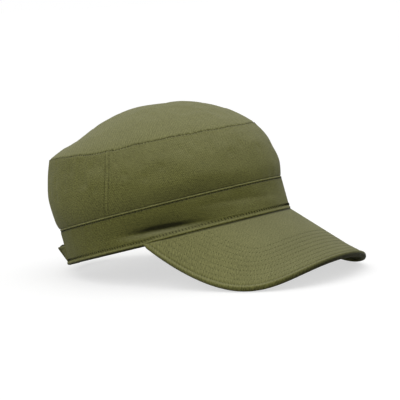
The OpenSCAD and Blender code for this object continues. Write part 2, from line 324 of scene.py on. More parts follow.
def lower_edge(phi):
    return stack(S.half_w * sin_deg(phi), -S.half_l * cos_deg(phi), S.rise * sin_deg(phi) ** 2)


def upper_edge(phi):
    half_w = S.half_w - S.taper
    half_l = S.half_l - S.taper
    return stack(half_w * sin_deg(phi), -half_l * cos_deg(phi), S.band_h)


def side_seam(t):
    """Angle from the front to the side seams, which slant, for a share of the wall's height."""
    return lerp(S.side_top, S.side_low, (1 - np.clip(t, 0, 1)) ** SIDE_POWER)


def seam_point(phi):
    y = S.seam_y - S.seam_l * cos_deg(phi)
    return stack(S.seam_w * sin_deg(phi), y, S.seam_h + S.seam_slope * y)


def wall_length(phi):
    return np.linalg.norm(seam_point(phi) - upper_edge(phi), axis=-1)


def wall_point(phi, t):
    chord = lerp(upper_edge(phi), seam_point(phi), t[..., None])
    bulge = lerp(S.bulge_front, S.bulge_back, back_share(phi))
    swell = bulge * np.sin(math.pi * np.clip(t, 0, 1) ** WALL_BULGE_POWER)
    return chord + flat_out(chord) * swell[..., None]


def dome_point(phi, r):
    centre = np.array([0, S.dome_y, S.seam_h + S.dome_y * S.seam_slope])
    power = lerp(S.power_front, S.power_back, back_share(phi))
    skin = lerp(centre, seam_point(phi), r[..., None])
    skin[..., 2] += S.dome_h * (1 - np.abs(r) ** power)
    return skin


def arch_half(z):
    rise = np.clip(z, 0, ARCH_H) / ARCH_H
    return ARCH_HALF_WIDTH * np.sqrt(1 - rise**ARCH_POWER)


def arch_angle(z, half_width):
    return 180 - np.arcsin(arch_half(z) / half_width) / DEG


def arch_height(x):
    share = np.clip(np.abs(x) / ARCH_HALF_WIDTH, 0, 1)
    return ARCH_H * (1 - share**2) ** (1 / ARCH_POWER)


def bill_skin(x, reach):
    phi = BILL_HALF_ANGLE * x
    slope = BILL_SLOPE + BILL_SLOPE_GAIN * x * x
    run = unit(stack(BILL_FLARE * sin_deg(phi), -cos_deg(slope), -sin_deg(slope)))
    root = lower_edge(phi)
    root[..., 2] += BILL_ROOT_RISE * (1 - x * x)
    return root + run * reach[..., None]


def bill_reach(x):
    corner = np.clip(1 - np.abs(x) ** BILL_CORNER_POWER, 0, 1)
    return BILL_LENGTH * (1 + BILL_LENGTH_GAIN * x * x) * np.sqrt(corner)


# ---- Meshes ----


def new_mesh(name, points, faces, attributes=None):
    """A smooth mesh object from points in the cap's frame, with named point attributes for its material."""
    mesh = bpy.data.meshes.new(name)
    mesh.from_pydata(to_row(points).tolist(), [], faces)
    mesh.shade_smooth()
    for key, values in (attributes or {}).items():
        vector = values.ndim == 2
        layer = mesh.attributes.new(key, "FLOAT_VECTOR" if vector else "FLOAT", "POINT")
        layer.data.foreach_set("vector" if vector else "value", values.astype(np.float32).ravel())
    mesh.validate()
    piece = bpy.data.objects.new(name, mesh)
    bpy.context.scene.collection.objects.link(piece)
    return piece


def nothing(u, v):
    return np.zeros(np.broadcast(u, v).shape)


class Cloth:
    """A layer of cloth on a skin. outer and inner are its faces' depths along the skin's normal. turn is 1
    where the normal is along d/du x d/dv, or else -1. grain gives the weave's place in millimetres, and
    tone darkens the cloth below 0, for darker seams and painted shade, and makes it lighter above 0, for
    wear and painted highlights."""

    def __init__(self, skin, outer, inner, turn=1, step=(0.05, 0.0005), tone=nothing, grain=None):
        self.skin = skin
        self.outer = outer
        self.inner = inner
        self.turn = turn
        self.step = step
        self.tone = tone
        self.grain = grain
        self.butted = False

    def normal(self, u, v):
        du, dv = self.step
        along_u = self.skin(u + du, v) - self.skin(u - du, v)
        along_v = self.skin(u, v + dv) - self.skin(u, v - dv)
        across = np.cross(along_u, along_v)
        size = np.linalg.norm(across, axis=-1, keepdims=True)
        upright = np.zeros_like(across)
        upright[..., 2] = self.turn
        return self.turn * np.where(size > 1e-12, across / np.maximum(size, 1e-12), upright)

    def face(self, u, v, lift=0.0):
        """Points of the outer face, and their normals."""
        normal = self.normal(u, v)
        return self.skin(u, v) + normal * (self.outer(u, v) + lift)[..., None], normal

    def faces(self, u, v, edge, butt=0.0):
        """Points of the outer and inner faces, which meet in a rounded edge where edge, the distance to
        it, is 0. Where butt is 1 the edge is rounded on its inside only, so that two panels meet flush in
        a seam."""
        normal = self.normal(u, v)
        outer, inner = self.outer(u, v), self.inner(u, v)
        half = (outer - inner) / 2
        open_ = half * np.sqrt(1 - (1 - np.clip(edge / half, 0, 1)) ** 2)
        centre = self.skin(u, v) + normal * ((outer + inner) / 2 + (half - open_) * butt)[..., None]
        return centre + normal * open_[..., None], centre - normal * open_[..., None]

    def sheet(self, name, us, vs, closed=False):
        """A closed sheet over a grid, with rounded edges. With closed it runs all the way round and has no
        sides: us then leaves out the repeat of its first value."""
        u, v = np.meshgrid(us, vs, indexing="ij")
        points = self.skin(u, v)
        from_foot, from_side = grid_edge_distance(points)
        edge = from_foot if closed else np.minimum(from_foot, from_side)
        butt = from_foot / (from_foot + from_side + 1e-6) if self.butted else 0.0
        outer, inner = self.faces(u, v, edge, butt)
        own = (slice(None) if closed else slice(1, -1), slice(1, -1))
        top = np.arange(u.size).reshape(u.shape)
        low = top.copy()
        low[own] = u.size + np.arange(low[own].size).reshape(low[own].shape)
        order = np.r_[0 : len(us), 0] if closed else slice(None)
        faces = grid_faces(top[order], self.turn) + grid_faces(low[order], -self.turn)

        def both(over, under):
            width = over.shape[-1]
            return np.concatenate([over.reshape(-1, width), under[own].reshape(-1, width)])

        weave = self.grain(points, u, v)
        tone = (self.tone(u, v) + 0.0 * u)[..., None]
        layers = {"weave": both(weave, weave), "tone": both(tone, tone)[:, 0]}
        return new_mesh(name, both(outer, inner), faces, layers)

    def disc(self, name, count, vs):
        """A closed round sheet: rings from v 0, its middle point, out to v 1. Rings near the middle have
        fewer points, so that its faces stay even."""
        radius = np.array(vs[1:])
        counts = [count]
        for share in radius[-2::-1]:
            halve = counts[-1] > 24 and count * share < 0.6 * counts[-1]
            counts.append(counts[-1] // 2 if halve else counts[-1])
        counts = counts[::-1]
        points, weaves, tones, rings = [], [], [], []
        for side in (0, 1):
            rings.append([])
            for share, number in zip([0.0, *radius], [1, *counts]):
                phi = 360 * np.arange(number) / number - 180
                v = np.full(number, share)
                skin = self.skin(phi, v)
                reach = self.skin(phi, np.ones(number)) - self.skin(phi, 0 * v)
                edge = (1 - v) * np.linalg.norm(reach, axis=-1)
                if side and share == 1:
                    rings[1].append(rings[0][-1])
                    continue
                rings[side].append(len(points) + np.arange(number))
                points.extend(self.faces(phi, v, edge)[side])
                weaves.extend(self.grain(skin, phi, v))
                tones.extend(self.tone(phi, v) + 0.0 * phi)
        faces = []
        for side, chain in enumerate(rings):
            turned = self.turn if side == 0 else -self.turn
            for inner, outer in zip(chain, chain[1:]):
                faces += ring_faces(inner, outer, turned)
        return new_mesh(name, np.array(points), faces, {"weave": np.array(weaves), "tone": np.array(tones)})


def grid_faces(ids, turn):
    a, b, c, d = ids[:-1, :-1], ids[1:, :-1], ids[1:, 1:], ids[:-1, 1:]
    order = (a, b, c, d) if turn > 0 else (a, d, c, b)
    return np.stack([x.ravel() for x in order], -1).tolist()


def ring_faces(inner, outer, turn):
    """Faces between two rings about one axis; the inner one has the same number of points, half of it, or
    one."""
    n = len(outer)
    faces = []
    for i in range(n):
        j = (i + 1) % n
        if len(inner) == 1:
            faces.append([inner[0], outer[j], outer[i]])
        elif len(inner) == n:
            faces.append([inner[i], inner[j], outer[j], outer[i]])
        elif i % 2 == 0:
            faces.append([inner[i // 2], outer[j], outer[i]])
            faces.append([inner[i // 2], inner[(i // 2 + 1) % len(inner)], outer[j]])
        else:
            faces.append([inner[(i // 2 + 1) % len(inner)], outer[j], outer[i]])
    if turn > 0:
        return [[int(x) for x in face] for face in faces]
    return [[int(x) for x in reversed(face)] for face in faces]


def grid_edge_distance(points):
    """Distances from each grid point to the grid's foot or top, measured square to it, and to its sides."""
    step_v = np.linalg.norm(np.diff(points, axis=1), axis=-1)
    run_v = np.concatenate([np.zeros((len(points), 1)), np.cumsum(step_v, 1)], 1)
    along = unit(np.gradient(points, axis=0))
    across = unit(np.diff(points, axis=1))
    first = np.linalg.norm(np.cross(along[:, 0], across[:, 0]), axis=-1)[:, None]
    last = np.linalg.norm(np.cross(along[:, -1], across[:, -1]), axis=-1)[:, None]
    from_foot = np.minimum(run_v * first, (run_v[:, -1:] - run_v) * last)
    step_u = np.linalg.norm(np.diff(points, axis=0), axis=-1)
    run_u = np.concatenate([np.zeros((1, points.shape[1])), np.cumsum(step_u, 0)], 0)
    return from_foot, np.minimum(run_u, run_u[-1:] - run_u)


# ---- Stitches ----

STITCH_RINGS = np.array([0.08, 0.28, 0.5, 0.72, 0.92])
STITCH_SIDES = 6
STITCH_DIVE = 2.1
STITCH_LENGTHS = (0.92, 1.06)
PITCH_STRAY = 0.06
SIDE_STRAY = 0.08


def stitch_faces():
    """One stitch's faces: rings of points along it, then its two end points."""
    rings = len(STITCH_RINGS)
    each = rings * STITCH_SIDES + 2
    faces = []
    for ring in range(rings - 1):
        for k in range(STITCH_SIDES):
            m = (k + 1) % STITCH_SIDES
            a, b = ring * STITCH_SIDES, (ring + 1) * STITCH_SIDES
            faces.append([a + k, a + m, b + m, b + k])
    tail = (rings - 1) * STITCH_SIDES
    for k in range(STITCH_SIDES):
        m = (k + 1) % STITCH_SIDES
        faces.append([each - 2, m, k])
        faces.append([each - 1, tail + k, tail + m])
    return faces, each


def stitches(name, path, finish="thread", pitch=2.6, share=0.74, radius=0.24, lift=0.06, slant=0.0, seed=1):
    """A row of sewn stitches, each a closed thread that dives into the cloth at both ends. path is the
    cloth's points and normals along the row."""
    points, normals = path
    run = np.concatenate([[0], np.cumsum(np.linalg.norm(np.diff(points, axis=0), axis=-1))])

    def sample(table, s):
        return np.stack([np.interp(s, run, table[:, k]) for k in range(3)], -1)

    at = np.arange(pitch / 2, run[-1], pitch)
    draw = np.random.default_rng(seed)
    at = at + draw.uniform(-PITCH_STRAY, PITCH_STRAY, len(at)) * pitch
    lengths = pitch * share * draw.uniform(*STITCH_LENGTHS, len(at))
    sway = draw.uniform(-SIDE_STRAY, SIDE_STRAY, len(at))
    shares = np.concatenate([[0], STITCH_RINGS, [1]])
    ends = 2 * shares - 1
    s = at[:, None] + lengths[:, None] * (shares - 0.5)
    centre = sample(points, s)
    normal = unit(sample(normals, s))
    ahead = unit(sample(points, s + 0.2) - sample(points, s - 0.2) + 1e-9)
    side = unit(np.cross(ahead, normal))
    height = lift - STITCH_DIVE * radius * np.abs(ends) ** 3
    centre = centre + normal * height[None, :, None]
    centre = centre + side * (sway[:, None] + slant * (shares[None, :] - 0.5) * 2)[..., None]
    thick = radius * np.sqrt(np.clip(1 - ends[1:-1] ** 4, 0.1, 1))
    turn = 2 * math.pi * np.arange(STITCH_SIDES) / STITCH_SIDES
    body = centre[:, 1:-1, None, :] + thick[None, :, None, None] * (
        side[:, 1:-1, None, :] * np.cos(turn)[None, None, :, None]
        + normal[:, 1:-1, None, :] * np.sin(turn)[None, None, :, None]
    )
    count = len(at)
    table = np.concatenate([body.reshape(count, -1, 3), centre[:, :1], centre[:, -1:]], 1)
    template, each = stitch_faces()
    faces = [[index + n * each for index in face] for n in range(count) for face in template]
    piece = new_mesh(name, table.reshape(-1, 3), faces)
    piece.data.materials.append(FINISH[finish])
    return piece


# ---- Materials ----


class Nodes:
    """A node tree, with short ways to add nodes. Sockets and numbers can be mixed freely."""

    def __init__(self, tree):
        self.tree = tree

    def set(self, node, values):
        for key, value in values.items():
            if isinstance(value, bpy.types.NodeSocket):
                self.tree.links.new(value, node.inputs[key])
            else:
                node.inputs[key].default_value = value

    def node(self, kind, values=None, **settings):
        made = self.tree.nodes.new("ShaderNode" + kind)
        for key, value in settings.items():
            setattr(made, key, value)
        self.set(made, values or {})
        return made.outputs

    def math(self, operation, a, b=0.0):
        return self.node("Math", {0: a, 1: b}, operation=operation)[0]

    def plus(self, a, b):
        return self.math("ADD", a, b)

    def times(self, a, b):
        return self.math("MULTIPLY", a, b)

    def wave(self, run, length=1.0):
        """A wave between -1 and 1 along a run."""
        return self.math("SINE", self.times(run, 2 * math.pi / length))

    def place(self):
        return self.node("TexCoord")["Object"]

    def attribute(self, name, output="Vector"):
        return self.node("Attribute", attribute_name=name)[output]

    def camera_ray(self):
        return self.node("LightPath")["Is Camera Ray"]

    def split(self, vector):
        return self.node("SeparateXYZ", {0: vector})

    def stretch(self, vector, x, y, z=1.0):
        return self.node("Mapping", {"Vector": vector, "Scale": (x, y, z)})[0]

    def noise(self, vector, scale, detail=2.0, rough=0.5):
        values = {"Vector": vector, "Scale": scale, "Detail": detail, "Roughness": rough}
        return self.node("TexNoise", values)["Fac"]

    def mix(self, share, a, b):
        return self.node("Mix", {0: share, 6: a, 7: b}, data_type="RGBA")[2]

    def span(self, value, low, high, to_low=0.0, to_high=1.0):
        return self.node("MapRange", {0: value, 1: low, 2: high, 3: to_low, 4: to_high})[0]


class Finish(Nodes):
    """A material and its surface."""

    def __init__(self, name, roughness=0.9, sheen=0.0, specular=0.25):
        self.material = bpy.data.materials.new(name)
        self.material.use_nodes = True
        super().__init__(self.material.node_tree)
        self.surface = self.tree.nodes["Principled BSDF"]
        self.surface_is("Roughness", roughness)
        self.surface_is("Specular IOR Level", specular)
        self.surface_is("Sheen Weight", sheen)
        self.surface_is("Sheen Roughness", 0.45)

    def surface_is(self, key, value):
        self.set(self.surface, {key: value})

    def bump(self, height, distance, strength=1.0):
        values = {"Height": height, "Distance": distance, "Strength": strength}
        self.surface_is("Normal", self.node("Bump", values)[0])

    def colour(self, value):
        self.surface_is("Base Color", value)

    def lit_colour(self, value, light):
        """The base colour made lighter or darker by light, around 0."""
        self.colour(self.node("HueSaturation", {"Color": value, "Value": self.plus(light, 1.0)})[0])


def shade(colour, factor=1.0):
    return tuple(factor * c for c in colour) + (1.0,)


TWILL_RIB = 1.3
YARN = 1.15
FUZZ = 0.75
# The colour at tone 1: wear on edges, and painted highlight on lit ridges and on shaded undersides.
WORN_AND_LIT = (0.30, 0.298, 0.110)
# The share of the cloth's colour at tone -1: darker seams, and painted shade in grooves, creases, the
# band's foot and under the bill's rim.
SEAM_AND_SHADE_DARKEST = 0.16
# The upward share of the normal over which the cloth takes the painted overhead highlight colour.
HIGHLIGHT_START = 0.12
HIGHLIGHT_END = 0.85


def twill(name, colour, overhead_highlight):
    """Cotton twill: slanting ribs of short yarn floats, slubs, patches of uneven fading, paler edges from
    wear and painted highlight, and darker seams with painted shade in their grooves and creases. Cloth that
    faces the sky takes a paler, more neutral colour: a painted highlight of the overhead light."""
    m = Finish(name, sheen=0.12, specular=0.10)
    weave = m.attribute("weave")
    x, y = m.split(weave)[:2]
    drift = m.noise(weave, 0.09, 2.0)
    slant = m.times(m.math("SUBTRACT", x, y), 0.7071 / TWILL_RIB)
    slant = m.plus(slant, m.times(drift, 1.2))
    ribs = m.span(m.wave(slant), -1, 1)
    row = m.math("FLOOR", slant)
    yarn = m.span(m.wave(m.plus(m.times(y, 1 / YARN), m.times(row, 0.5))), -1, 1)
    fuzz = m.noise(m.stretch(weave, 1.0, 1.4), 0.7, 3.0, 0.8)
    slub = m.noise(m.stretch(weave, 0.35, 2.4), 0.45, 2.0, 0.6)
    patch = m.noise(weave, 0.045, 3.0, 0.55)
    height = m.plus(m.times(ribs, 0.6), m.times(yarn, 0.3))
    height = m.plus(height, m.times(fuzz, 0.45))
    light = m.span(ribs, 0, 1, -0.20, 0.16)
    light = m.plus(light, m.span(yarn, 0, 1, -0.12, 0.10))
    light = m.plus(light, m.span(fuzz, 0.25, 0.75, -FUZZ, FUZZ))
    light = m.plus(light, m.span(slub, 0.3, 0.7, -0.10, 0.10))
    light = m.plus(light, m.span(patch, 0.3, 0.7, -0.06, 0.06))
    tone = m.attribute("tone", "Fac")
    # Painted highlight: cloth that faces up gets a paler, more neutral colour and a flatter weave, standing
    # in for the overhead light's sheen.
    up = m.split(m.node("NewGeometry")["Normal"])[2]
    light = m.times(light, m.span(up, HIGHLIGHT_START, HIGHLIGHT_END, 1.0, 0.5))
    base = m.mix(m.span(up, HIGHLIGHT_START, HIGHLIGHT_END), shade(colour), shade(overhead_highlight))
    # Tone above 0 moves to the worn colour, for wear and painted highlights; below 0 it moves to the
    # darkest colour, mostly painted shade.
    toned = m.mix(m.span(tone, 0, 1), base, shade(WORN_AND_LIT))
    toned = m.mix(m.span(tone, 0, -1), toned, shade(colour, SEAM_AND_SHADE_DARKEST))
    m.lit_colour(toned, light)
    m.surface_is("Roughness", m.span(fuzz, 0.2, 0.8, 0.78, 0.98))
    m.bump(height, 0.00025, 0.9)
    return m.material


def plain_weave(name, colour, pitch=0.8, sheen=0.1, roughness=0.85, wear=0.12):
    """A plain tabby weave for tapes, linings and the label."""
    m = Finish(name, roughness=roughness, sheen=sheen)
    weave = m.attribute("weave")
    x, y = m.split(weave)[:2]
    cloth = m.span(m.times(m.wave(x, pitch), m.wave(y, pitch)), -1, 1)
    slub = m.noise(m.stretch(weave, 0.4, 1.6), 0.7, 3.0, 0.6)
    light = m.plus(m.span(cloth, 0, 1, -0.10, 0.06), m.span(slub, 0.3, 0.7, -wear, wear))
    m.lit_colour(shade(colour), light)
    m.bump(m.plus(cloth, slub), 0.0002, 0.8)
    return m.material


def thread(name, colour):
    """Twisted sewing thread, a little shinier than the cloth."""
    m = Finish(name, roughness=0.6, sheen=0.04, specular=0.12)
    twist = m.noise(m.place(), 2600, 2.0)
    m.colour(m.mix(twist, shade(colour, 0.75), shade(colour, 1.25)))
    m.bump(twist, 0.00012, 0.7)
    return m.material


def felt(name, colour):
    """Pressed fibres, for the pad."""
    m = Finish(name, roughness=0.95, sheen=0.2)
    place = m.place()
    fibre = m.noise(place, 900, 5.0, 0.75)
    cloud = m.noise(place, 60, 2.0)
    tint = m.mix(m.span(fibre, 0.3, 0.7), shade(colour, 0.82), shade(colour, 1.1))
    m.colour(m.mix(m.span(cloud, 0.3, 0.7, 0, 0.35), tint, shade(colour, 0.85)))
    m.bump(fibre, 0.0004, 0.8)
    return m.material


def board_plastic(name, colour):
    """The bill's board: moulded sheet with a fine matt grain and faint flow marks."""
    m = Finish(name, roughness=0.5, specular=0.4)
    place = m.place()
    grain = m.noise(place, 1500, 3.0)
    flow = m.noise(m.stretch(place, 1.0, 0.2), 55, 3.0)
    m.colour(m.mix(m.span(flow, 0.3, 0.7), shade(colour, 0.9), shade(colour, 1.08)))
    m.surface_is("Roughness", m.span(flow, 0.3, 0.7, 0.42, 0.6))
    m.bump(grain, 0.0001, 0.5)
    return m.material


def pile(name, colour, grain, depth):
    """The fastening strips: loops or hooks, as a dense nap over the strip's own shape."""
    m = Finish(name, roughness=0.8, sheen=0.3)
    place = m.place()
    dot = m.node("TexVoronoi", {"Vector": place, "Scale": grain})["Distance"]
    fuzz = m.noise(place, grain * 1.6, 3.0)
    m.colour(m.mix(m.span(dot, 0, 0.6), shade(colour, 1.35), shade(colour, 0.6)))
    m.bump(m.plus(m.times(dot, -1.0), fuzz), depth)
    return m.material


OLIVE = (0.172, 0.172, 0.050)
OLIVE_BAND = (0.144, 0.144, 0.037)
# Paler, more neutral olive for cloth that faces up: a painted highlight of the overhead light.
OVERHEAD_HIGHLIGHT = (0.228, 0.226, 0.100)
OLIVE_COTTON = (0.150, 0.152, 0.050)
OLIVE_TAPE = (0.100, 0.102, 0.036)
THREAD = (0.092, 0.092, 0.030)
# Near-black, darker than the thread itself: it also carries the painted shade of the stitch holes.
THREAD_AND_HOLE_SHADE = (0.012, 0.012, 0.004)
LABEL_WHITE = (0.72, 0.72, 0.68)
RAW_COTTON = (0.60, 0.58, 0.50)
WADDING = (0.58, 0.57, 0.52)
BOARD_GREY = (0.46, 0.47, 0.45)
LOOP_GREEN = (0.045, 0.048, 0.030)
HOOK_GREEN = (0.040, 0.043, 0.027)

FINISH = {
    "crown": twill("crown_twill", OLIVE, OVERHEAD_HIGHLIGHT),
    "band": twill("band_twill", OLIVE_BAND, OVERHEAD_HIGHLIGHT),
    "bill": twill("bill_twill", OLIVE, OVERHEAD_HIGHLIGHT),
    "sweatband": plain_weave("sweatband_cotton", OLIVE_COTTON, pitch=0.9, sheen=0.2),
    "tape": plain_weave("seam_tape", OLIVE_TAPE, pitch=1.3, wear=0.18),
    "label": plain_weave("label_satin", LABEL_WHITE, pitch=0.45, sheen=0.05, roughness=0.45, wear=0.03),
    "buckram": plain_weave("buckram", RAW_COTTON, pitch=1.7, wear=0.1),
    "pad": felt("padding", WADDING),
    "board": board_plastic("board", BOARD_GREY),
    "loop": pile("loop_pile", LOOP_GREEN, 1500, 0.0006),
    "hook": pile("hook_plastic", HOOK_GREEN, 900, 0.0004),
    "thread": thread("thread", THREAD),
    "thread_and_hole_shade": thread("seam_thread", THREAD_AND_HOLE_SHADE),
}


def place(piece, finish, *stands_for, body="cap"):
    """Gives a piece its material, the body it moves with and the nodes that it stands for."""
    piece.data.materials.append(FINISH[finish])
    if body:
        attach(piece, body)
    if stands_for:
        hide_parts(*stands_for)


def sew(name, cloth, path, finish="thread", body="cap", **how):
    """A row of stitches in one of the cloths."""
    piece = stitches(name, path, finish, **how)
    if body:
        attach(piece, body)
    return piece


# ---- Cloth simulation ----

DRAPE_COLUMNS = 120
DRAPE_WALL_ROWS = 10
DRAPE_TOP_ROWS = 15
DRAPE_ROWS = DRAPE_WALL_ROWS + DRAPE_TOP_ROWS - 2
DRAPE_FRAMES = 30
DRAPE_SLACK = 0.007
DRAPE_LIMIT = 0.7
SEAM_HOLD = 0.85
CLOTH_MASS = 0.0002
CLOTH_STRETCH = 12
CLOTH_SHEAR = 6
CLOTH_BEND = 0.4
CLOTH_PRESSURE = 0.25
CLOTH_WEIGHT = 0.3


def drape_shell():
    """The bare crown as one coarse shell in metres: rings from the band up the wall, then in to the top's
    middle."""
    phi = 360 * np.arange(DRAPE_COLUMNS) / DRAPE_COLUMNS - 180
    rings, hold = [], []
    for t in np.linspace(0, 1, DRAPE_WALL_ROWS):
        rings.append(wall_point(phi, np.full(len(phi), t)))
        hold.append(1.0 if t == 0 else SEAM_HOLD * float(t == 1))
    for v in np.linspace(1, 0, DRAPE_TOP_ROWS)[1:-1]:
        rings.append(dome_point(phi, np.full(len(phi), v)))
        hold.append(0.0)
    points = np.concatenate(rings + [dome_point(np.zeros(1), np.zeros(1))])
    hold = np.concatenate([np.repeat(hold, DRAPE_COLUMNS), [0.0]])
    ids = np.arange(len(rings) * DRAPE_COLUMNS).reshape(len(rings), DRAPE_COLUMNS).T
    faces = grid_faces(ids[np.r_[0:DRAPE_COLUMNS, 0]], 1)
    last, middle = ids[:, -1], len(points) - 1
    faces += [[int(last[k]), int(last[(k + 1) % DRAPE_COLUMNS]), middle] for k in range(DRAPE_COLUMNS)]
    return points, hold, faces


def cloth_modifier(shell):
    """Soft twill that is a little too large for its seams, with a trace of air under it."""
    cloth = shell.modifiers.new("cloth", "CLOTH")
    rules = cloth.settings
    rules.quality = 8
    rules.mass = CLOTH_MASS
    rules.tension_stiffness = CLOTH_STRETCH
    rules.compression_stiffness = CLOTH_STRETCH
    rules.shear_stiffness = CLOTH_SHEAR
    rules.bending_stiffness = CLOTH_BEND
    rules.vertex_group_mass = "held"
    rules.pin_stiffness = 1.0
    rules.shrink_min = -DRAPE_SLACK
    rules.shrink_max = -DRAPE_SLACK
    rules.use_pressure = True
    rules.uniform_pressure_force = CLOTH_PRESSURE
    rules.effector_weights.gravity = CLOTH_WEIGHT
    cloth.collision_settings.use_collision = False
    cloth.point_cache.frame_start = 1
    cloth.point_cache.frame_end = DRAPE_FRAMES


def drape():
    """Lets the crown's slack cloth settle between its seams, and returns how far it moves outwards,
    in millimetres, over the wall and over the top."""
    points, hold, faces = drape_shell()
    mesh = bpy.data.meshes.new("drape")
    mesh.from_pydata(to_row(points).tolist(), [], faces)
    shell = bpy.data.objects.new("drape", mesh)
    scene = bpy.context.scene
    scene.collection.objects.link(shell)
    held = shell.vertex_groups.new(name="held")
    for index, weight in enumerate(hold):
        held.add([index], float(weight), "REPLACE")
    cloth_modifier(shell)
    for moment in range(1, DRAPE_FRAMES + 1):
        scene.frame_set(moment)
    settled = shell.evaluated_get(bpy.context.evaluated_depsgraph_get()).data
    moved = np.array([v.co for v in settled.vertices]) @ LEAN / MM
    normals = np.array([v.normal for v in mesh.vertices]) @ LEAN
    out = ((moved - points) * normals).sum(-1)[:-1].reshape(DRAPE_ROWS, DRAPE_COLUMNS)
    scene.frame_set(1)
    bpy.data.objects.remove(shell)
    bpy.data.meshes.remove(mesh)
    return DRAPE_LIMIT * np.tanh(out / DRAPE_LIMIT)


def drape_at(phi, row):
    """The drape at an angle and a ring of the shell, read smoothly between its points."""
    across = (np.mod(phi + 180, 360)) / 360 * DRAPE_COLUMNS
    left = np.floor(across).astype(int)
    low = np.clip(np.floor(row).astype(int), 0, len(DRAPE) - 2)
    a, b = across - left, np.clip(row - low, 0, 1)
    a, b = a * a * (3 - 2 * a), b * b * (3 - 2 * b)
    here, there = left % DRAPE_COLUMNS, (left + 1) % DRAPE_COLUMNS
    under = lerp(DRAPE[low, here], DRAPE[low, there], a)
    over = lerp(DRAPE[low + 1, here], DRAPE[low + 1, there], a)
    return lerp(under, over, b)


DRAPE = drape()


# ---- Crown ----

SEAM_PITCH = 2.7
LIP = 0.75
LIP_RADIUS = 1.1
SKIRT = 1.5
SKIRT_RADIUS = 1.5
RIM_TUCKED = 0.5
BACK_SINK = 1.9
TUCK = 1.55
TUCK_HEIGHT = 0.45
HEM = 2.6
DARTS = (-77, -62, -34, 34, 62, 77)
DART_LENGTH = 13
DART_DEPTH = 0.45
SEAM_SAG = 2.3
SEAM_SAG_ANGLE = 82
SHOULDER = 1.4
OVERHANG = 0.8
SIDE_ROW = 1.6
SEAM_GROOVE_SHADE = 0.75
SIDE_ROW_DARK = 0.24


def seam_dots(phi):
    """Where the seam's stitches pull the cloth in: 1 at a stitch and 0 between two."""
    run = phi * DEG * (S.seam_l + S.seam_w) / 2
    return (0.5 + 0.5 * np.cos(2 * math.pi * run / SEAM_PITCH)) ** 2


def seam_draw(phi):
    """How tightly the top seam is drawn in: loosest at the front, and uneven."""
    return (0.45 + 0.55 * smooth(15, 60, np.abs(phi))) * (1 + 0.25 * ring_ripple(phi, 30, 23))


def seam_groove_shade(phi, from_seam):
    """How much painted shade the top seam's groove gets: most at its stitches."""
    return SEAM_GROOVE_SHADE * seam_draw(phi) * hump(from_seam, 0, 0.6) * (0.1 + 0.9 * seam_dots(phi))


def seam_pull(phi, from_seam):
    """How far the top seam's stitches, its puckers and the small tucks draw the cloth in, in
    millimetres."""
    pull = 0.4 * seam_dots(phi) * seam_draw(phi) * hump(from_seam, 0, 1.3)
    pull = pull + 0.14 * ring_ripple(phi, 62, 21) * np.exp(-from_seam / 7)
    for dart in DARTS:
        beside = (phi - dart) * DEG * S.half_w
        fade = 1 - smooth(1, DART_LENGTH, from_seam)
        pull = pull + (DART_DEPTH * hump(beside, 0, 0.8) - 0.2 * hump(beside, 2.4, 2.2)) * fade
    return pull


def seam_wobble(phi, from_seam):
    """How far the cloth near the top seam strays up and down: the seam jogs where a tuck crosses it, and
    sags at the sides."""
    stray = 0.18 * ring_ripple(phi, 16, 24)
    for dart in DARTS:
        stray = stray + 0.40 * np.sign(dart) * np.tanh((phi - dart) / 1.2) * hump(phi, dart, 5)
    sag = SEAM_SAG * hump(np.abs(phi), SEAM_SAG_ANGLE, 19)
    return stray * np.exp(-from_seam / 5) - sag * np.exp(-from_seam / 16)


def wall_dents(phi, t):
    """The wall's soft hollows and swells, in millimetres, which die out at both seams."""
    free = np.sin(math.pi * np.clip(t, 0, 1)) ** 0.8
    soft = 0.45 * patches(phi * 1.45, t * 55, 70, 11) + 0.20 * patches(phi * 1.45, t * 55, 28, 12)
    front = np.clip(cos_deg(phi), 0, 1)
    low = OVERHANG * hump(np.abs(phi), 42, 15) * hump(t, 0.28, 0.17)
    settled = drape_at(phi, np.clip(t, 0, 1) * (DRAPE_WALL_ROWS - 1)) * free
    shoulder = SHOULDER * front * hump(t, 0.68, 0.26) * (1 - smooth(0.86, 0.99, t))
    return soft * free + shoulder + low + settled


def wall_skin(phi, t):
    points = wall_point(phi, t)
    phi = signed(phi)
    from_top = (1 - t) * wall_length(phi)
    from_band = t * wall_length(phi)
    out = wall_dents(phi, t)
    out = out - LIP * quarter(from_top, LIP_RADIUS)
    out = out - TUCK * (1 - smooth(-0.2, TUCK_HEIGHT, from_band))
    pull = seam_pull(phi, from_top)
    pull = pull + 0.16 * ring_ripple(phi, 46, 22) * np.exp(-np.maximum(from_band, 0) / 8)
    moved = points + flat_out(points) * (out - pull)[..., None]
    moved[..., 2] += seam_wobble(phi, from_top)
    return moved


def from_side_seam(phi, t):
    """Distance behind the nearest side seam's line, in millimetres."""
    return (np.abs(signed(phi)) - side_seam(t)) * DEG * S.half_w


def wall_outer(phi, t):
    """The pressed side seams: a slight swell over the allowances and a groove under each row of
    stitches."""
    beside = from_side_seam(phi, t)
    relief = 0.16 * smooth(-4.4, -3.2, beside) * (1 - smooth(3.2, 4.4, beside))
    for row in (-SIDE_ROW, 0, SIDE_ROW):
        relief = relief - 0.14 * hump(beside, row, 0.5)
    return relief


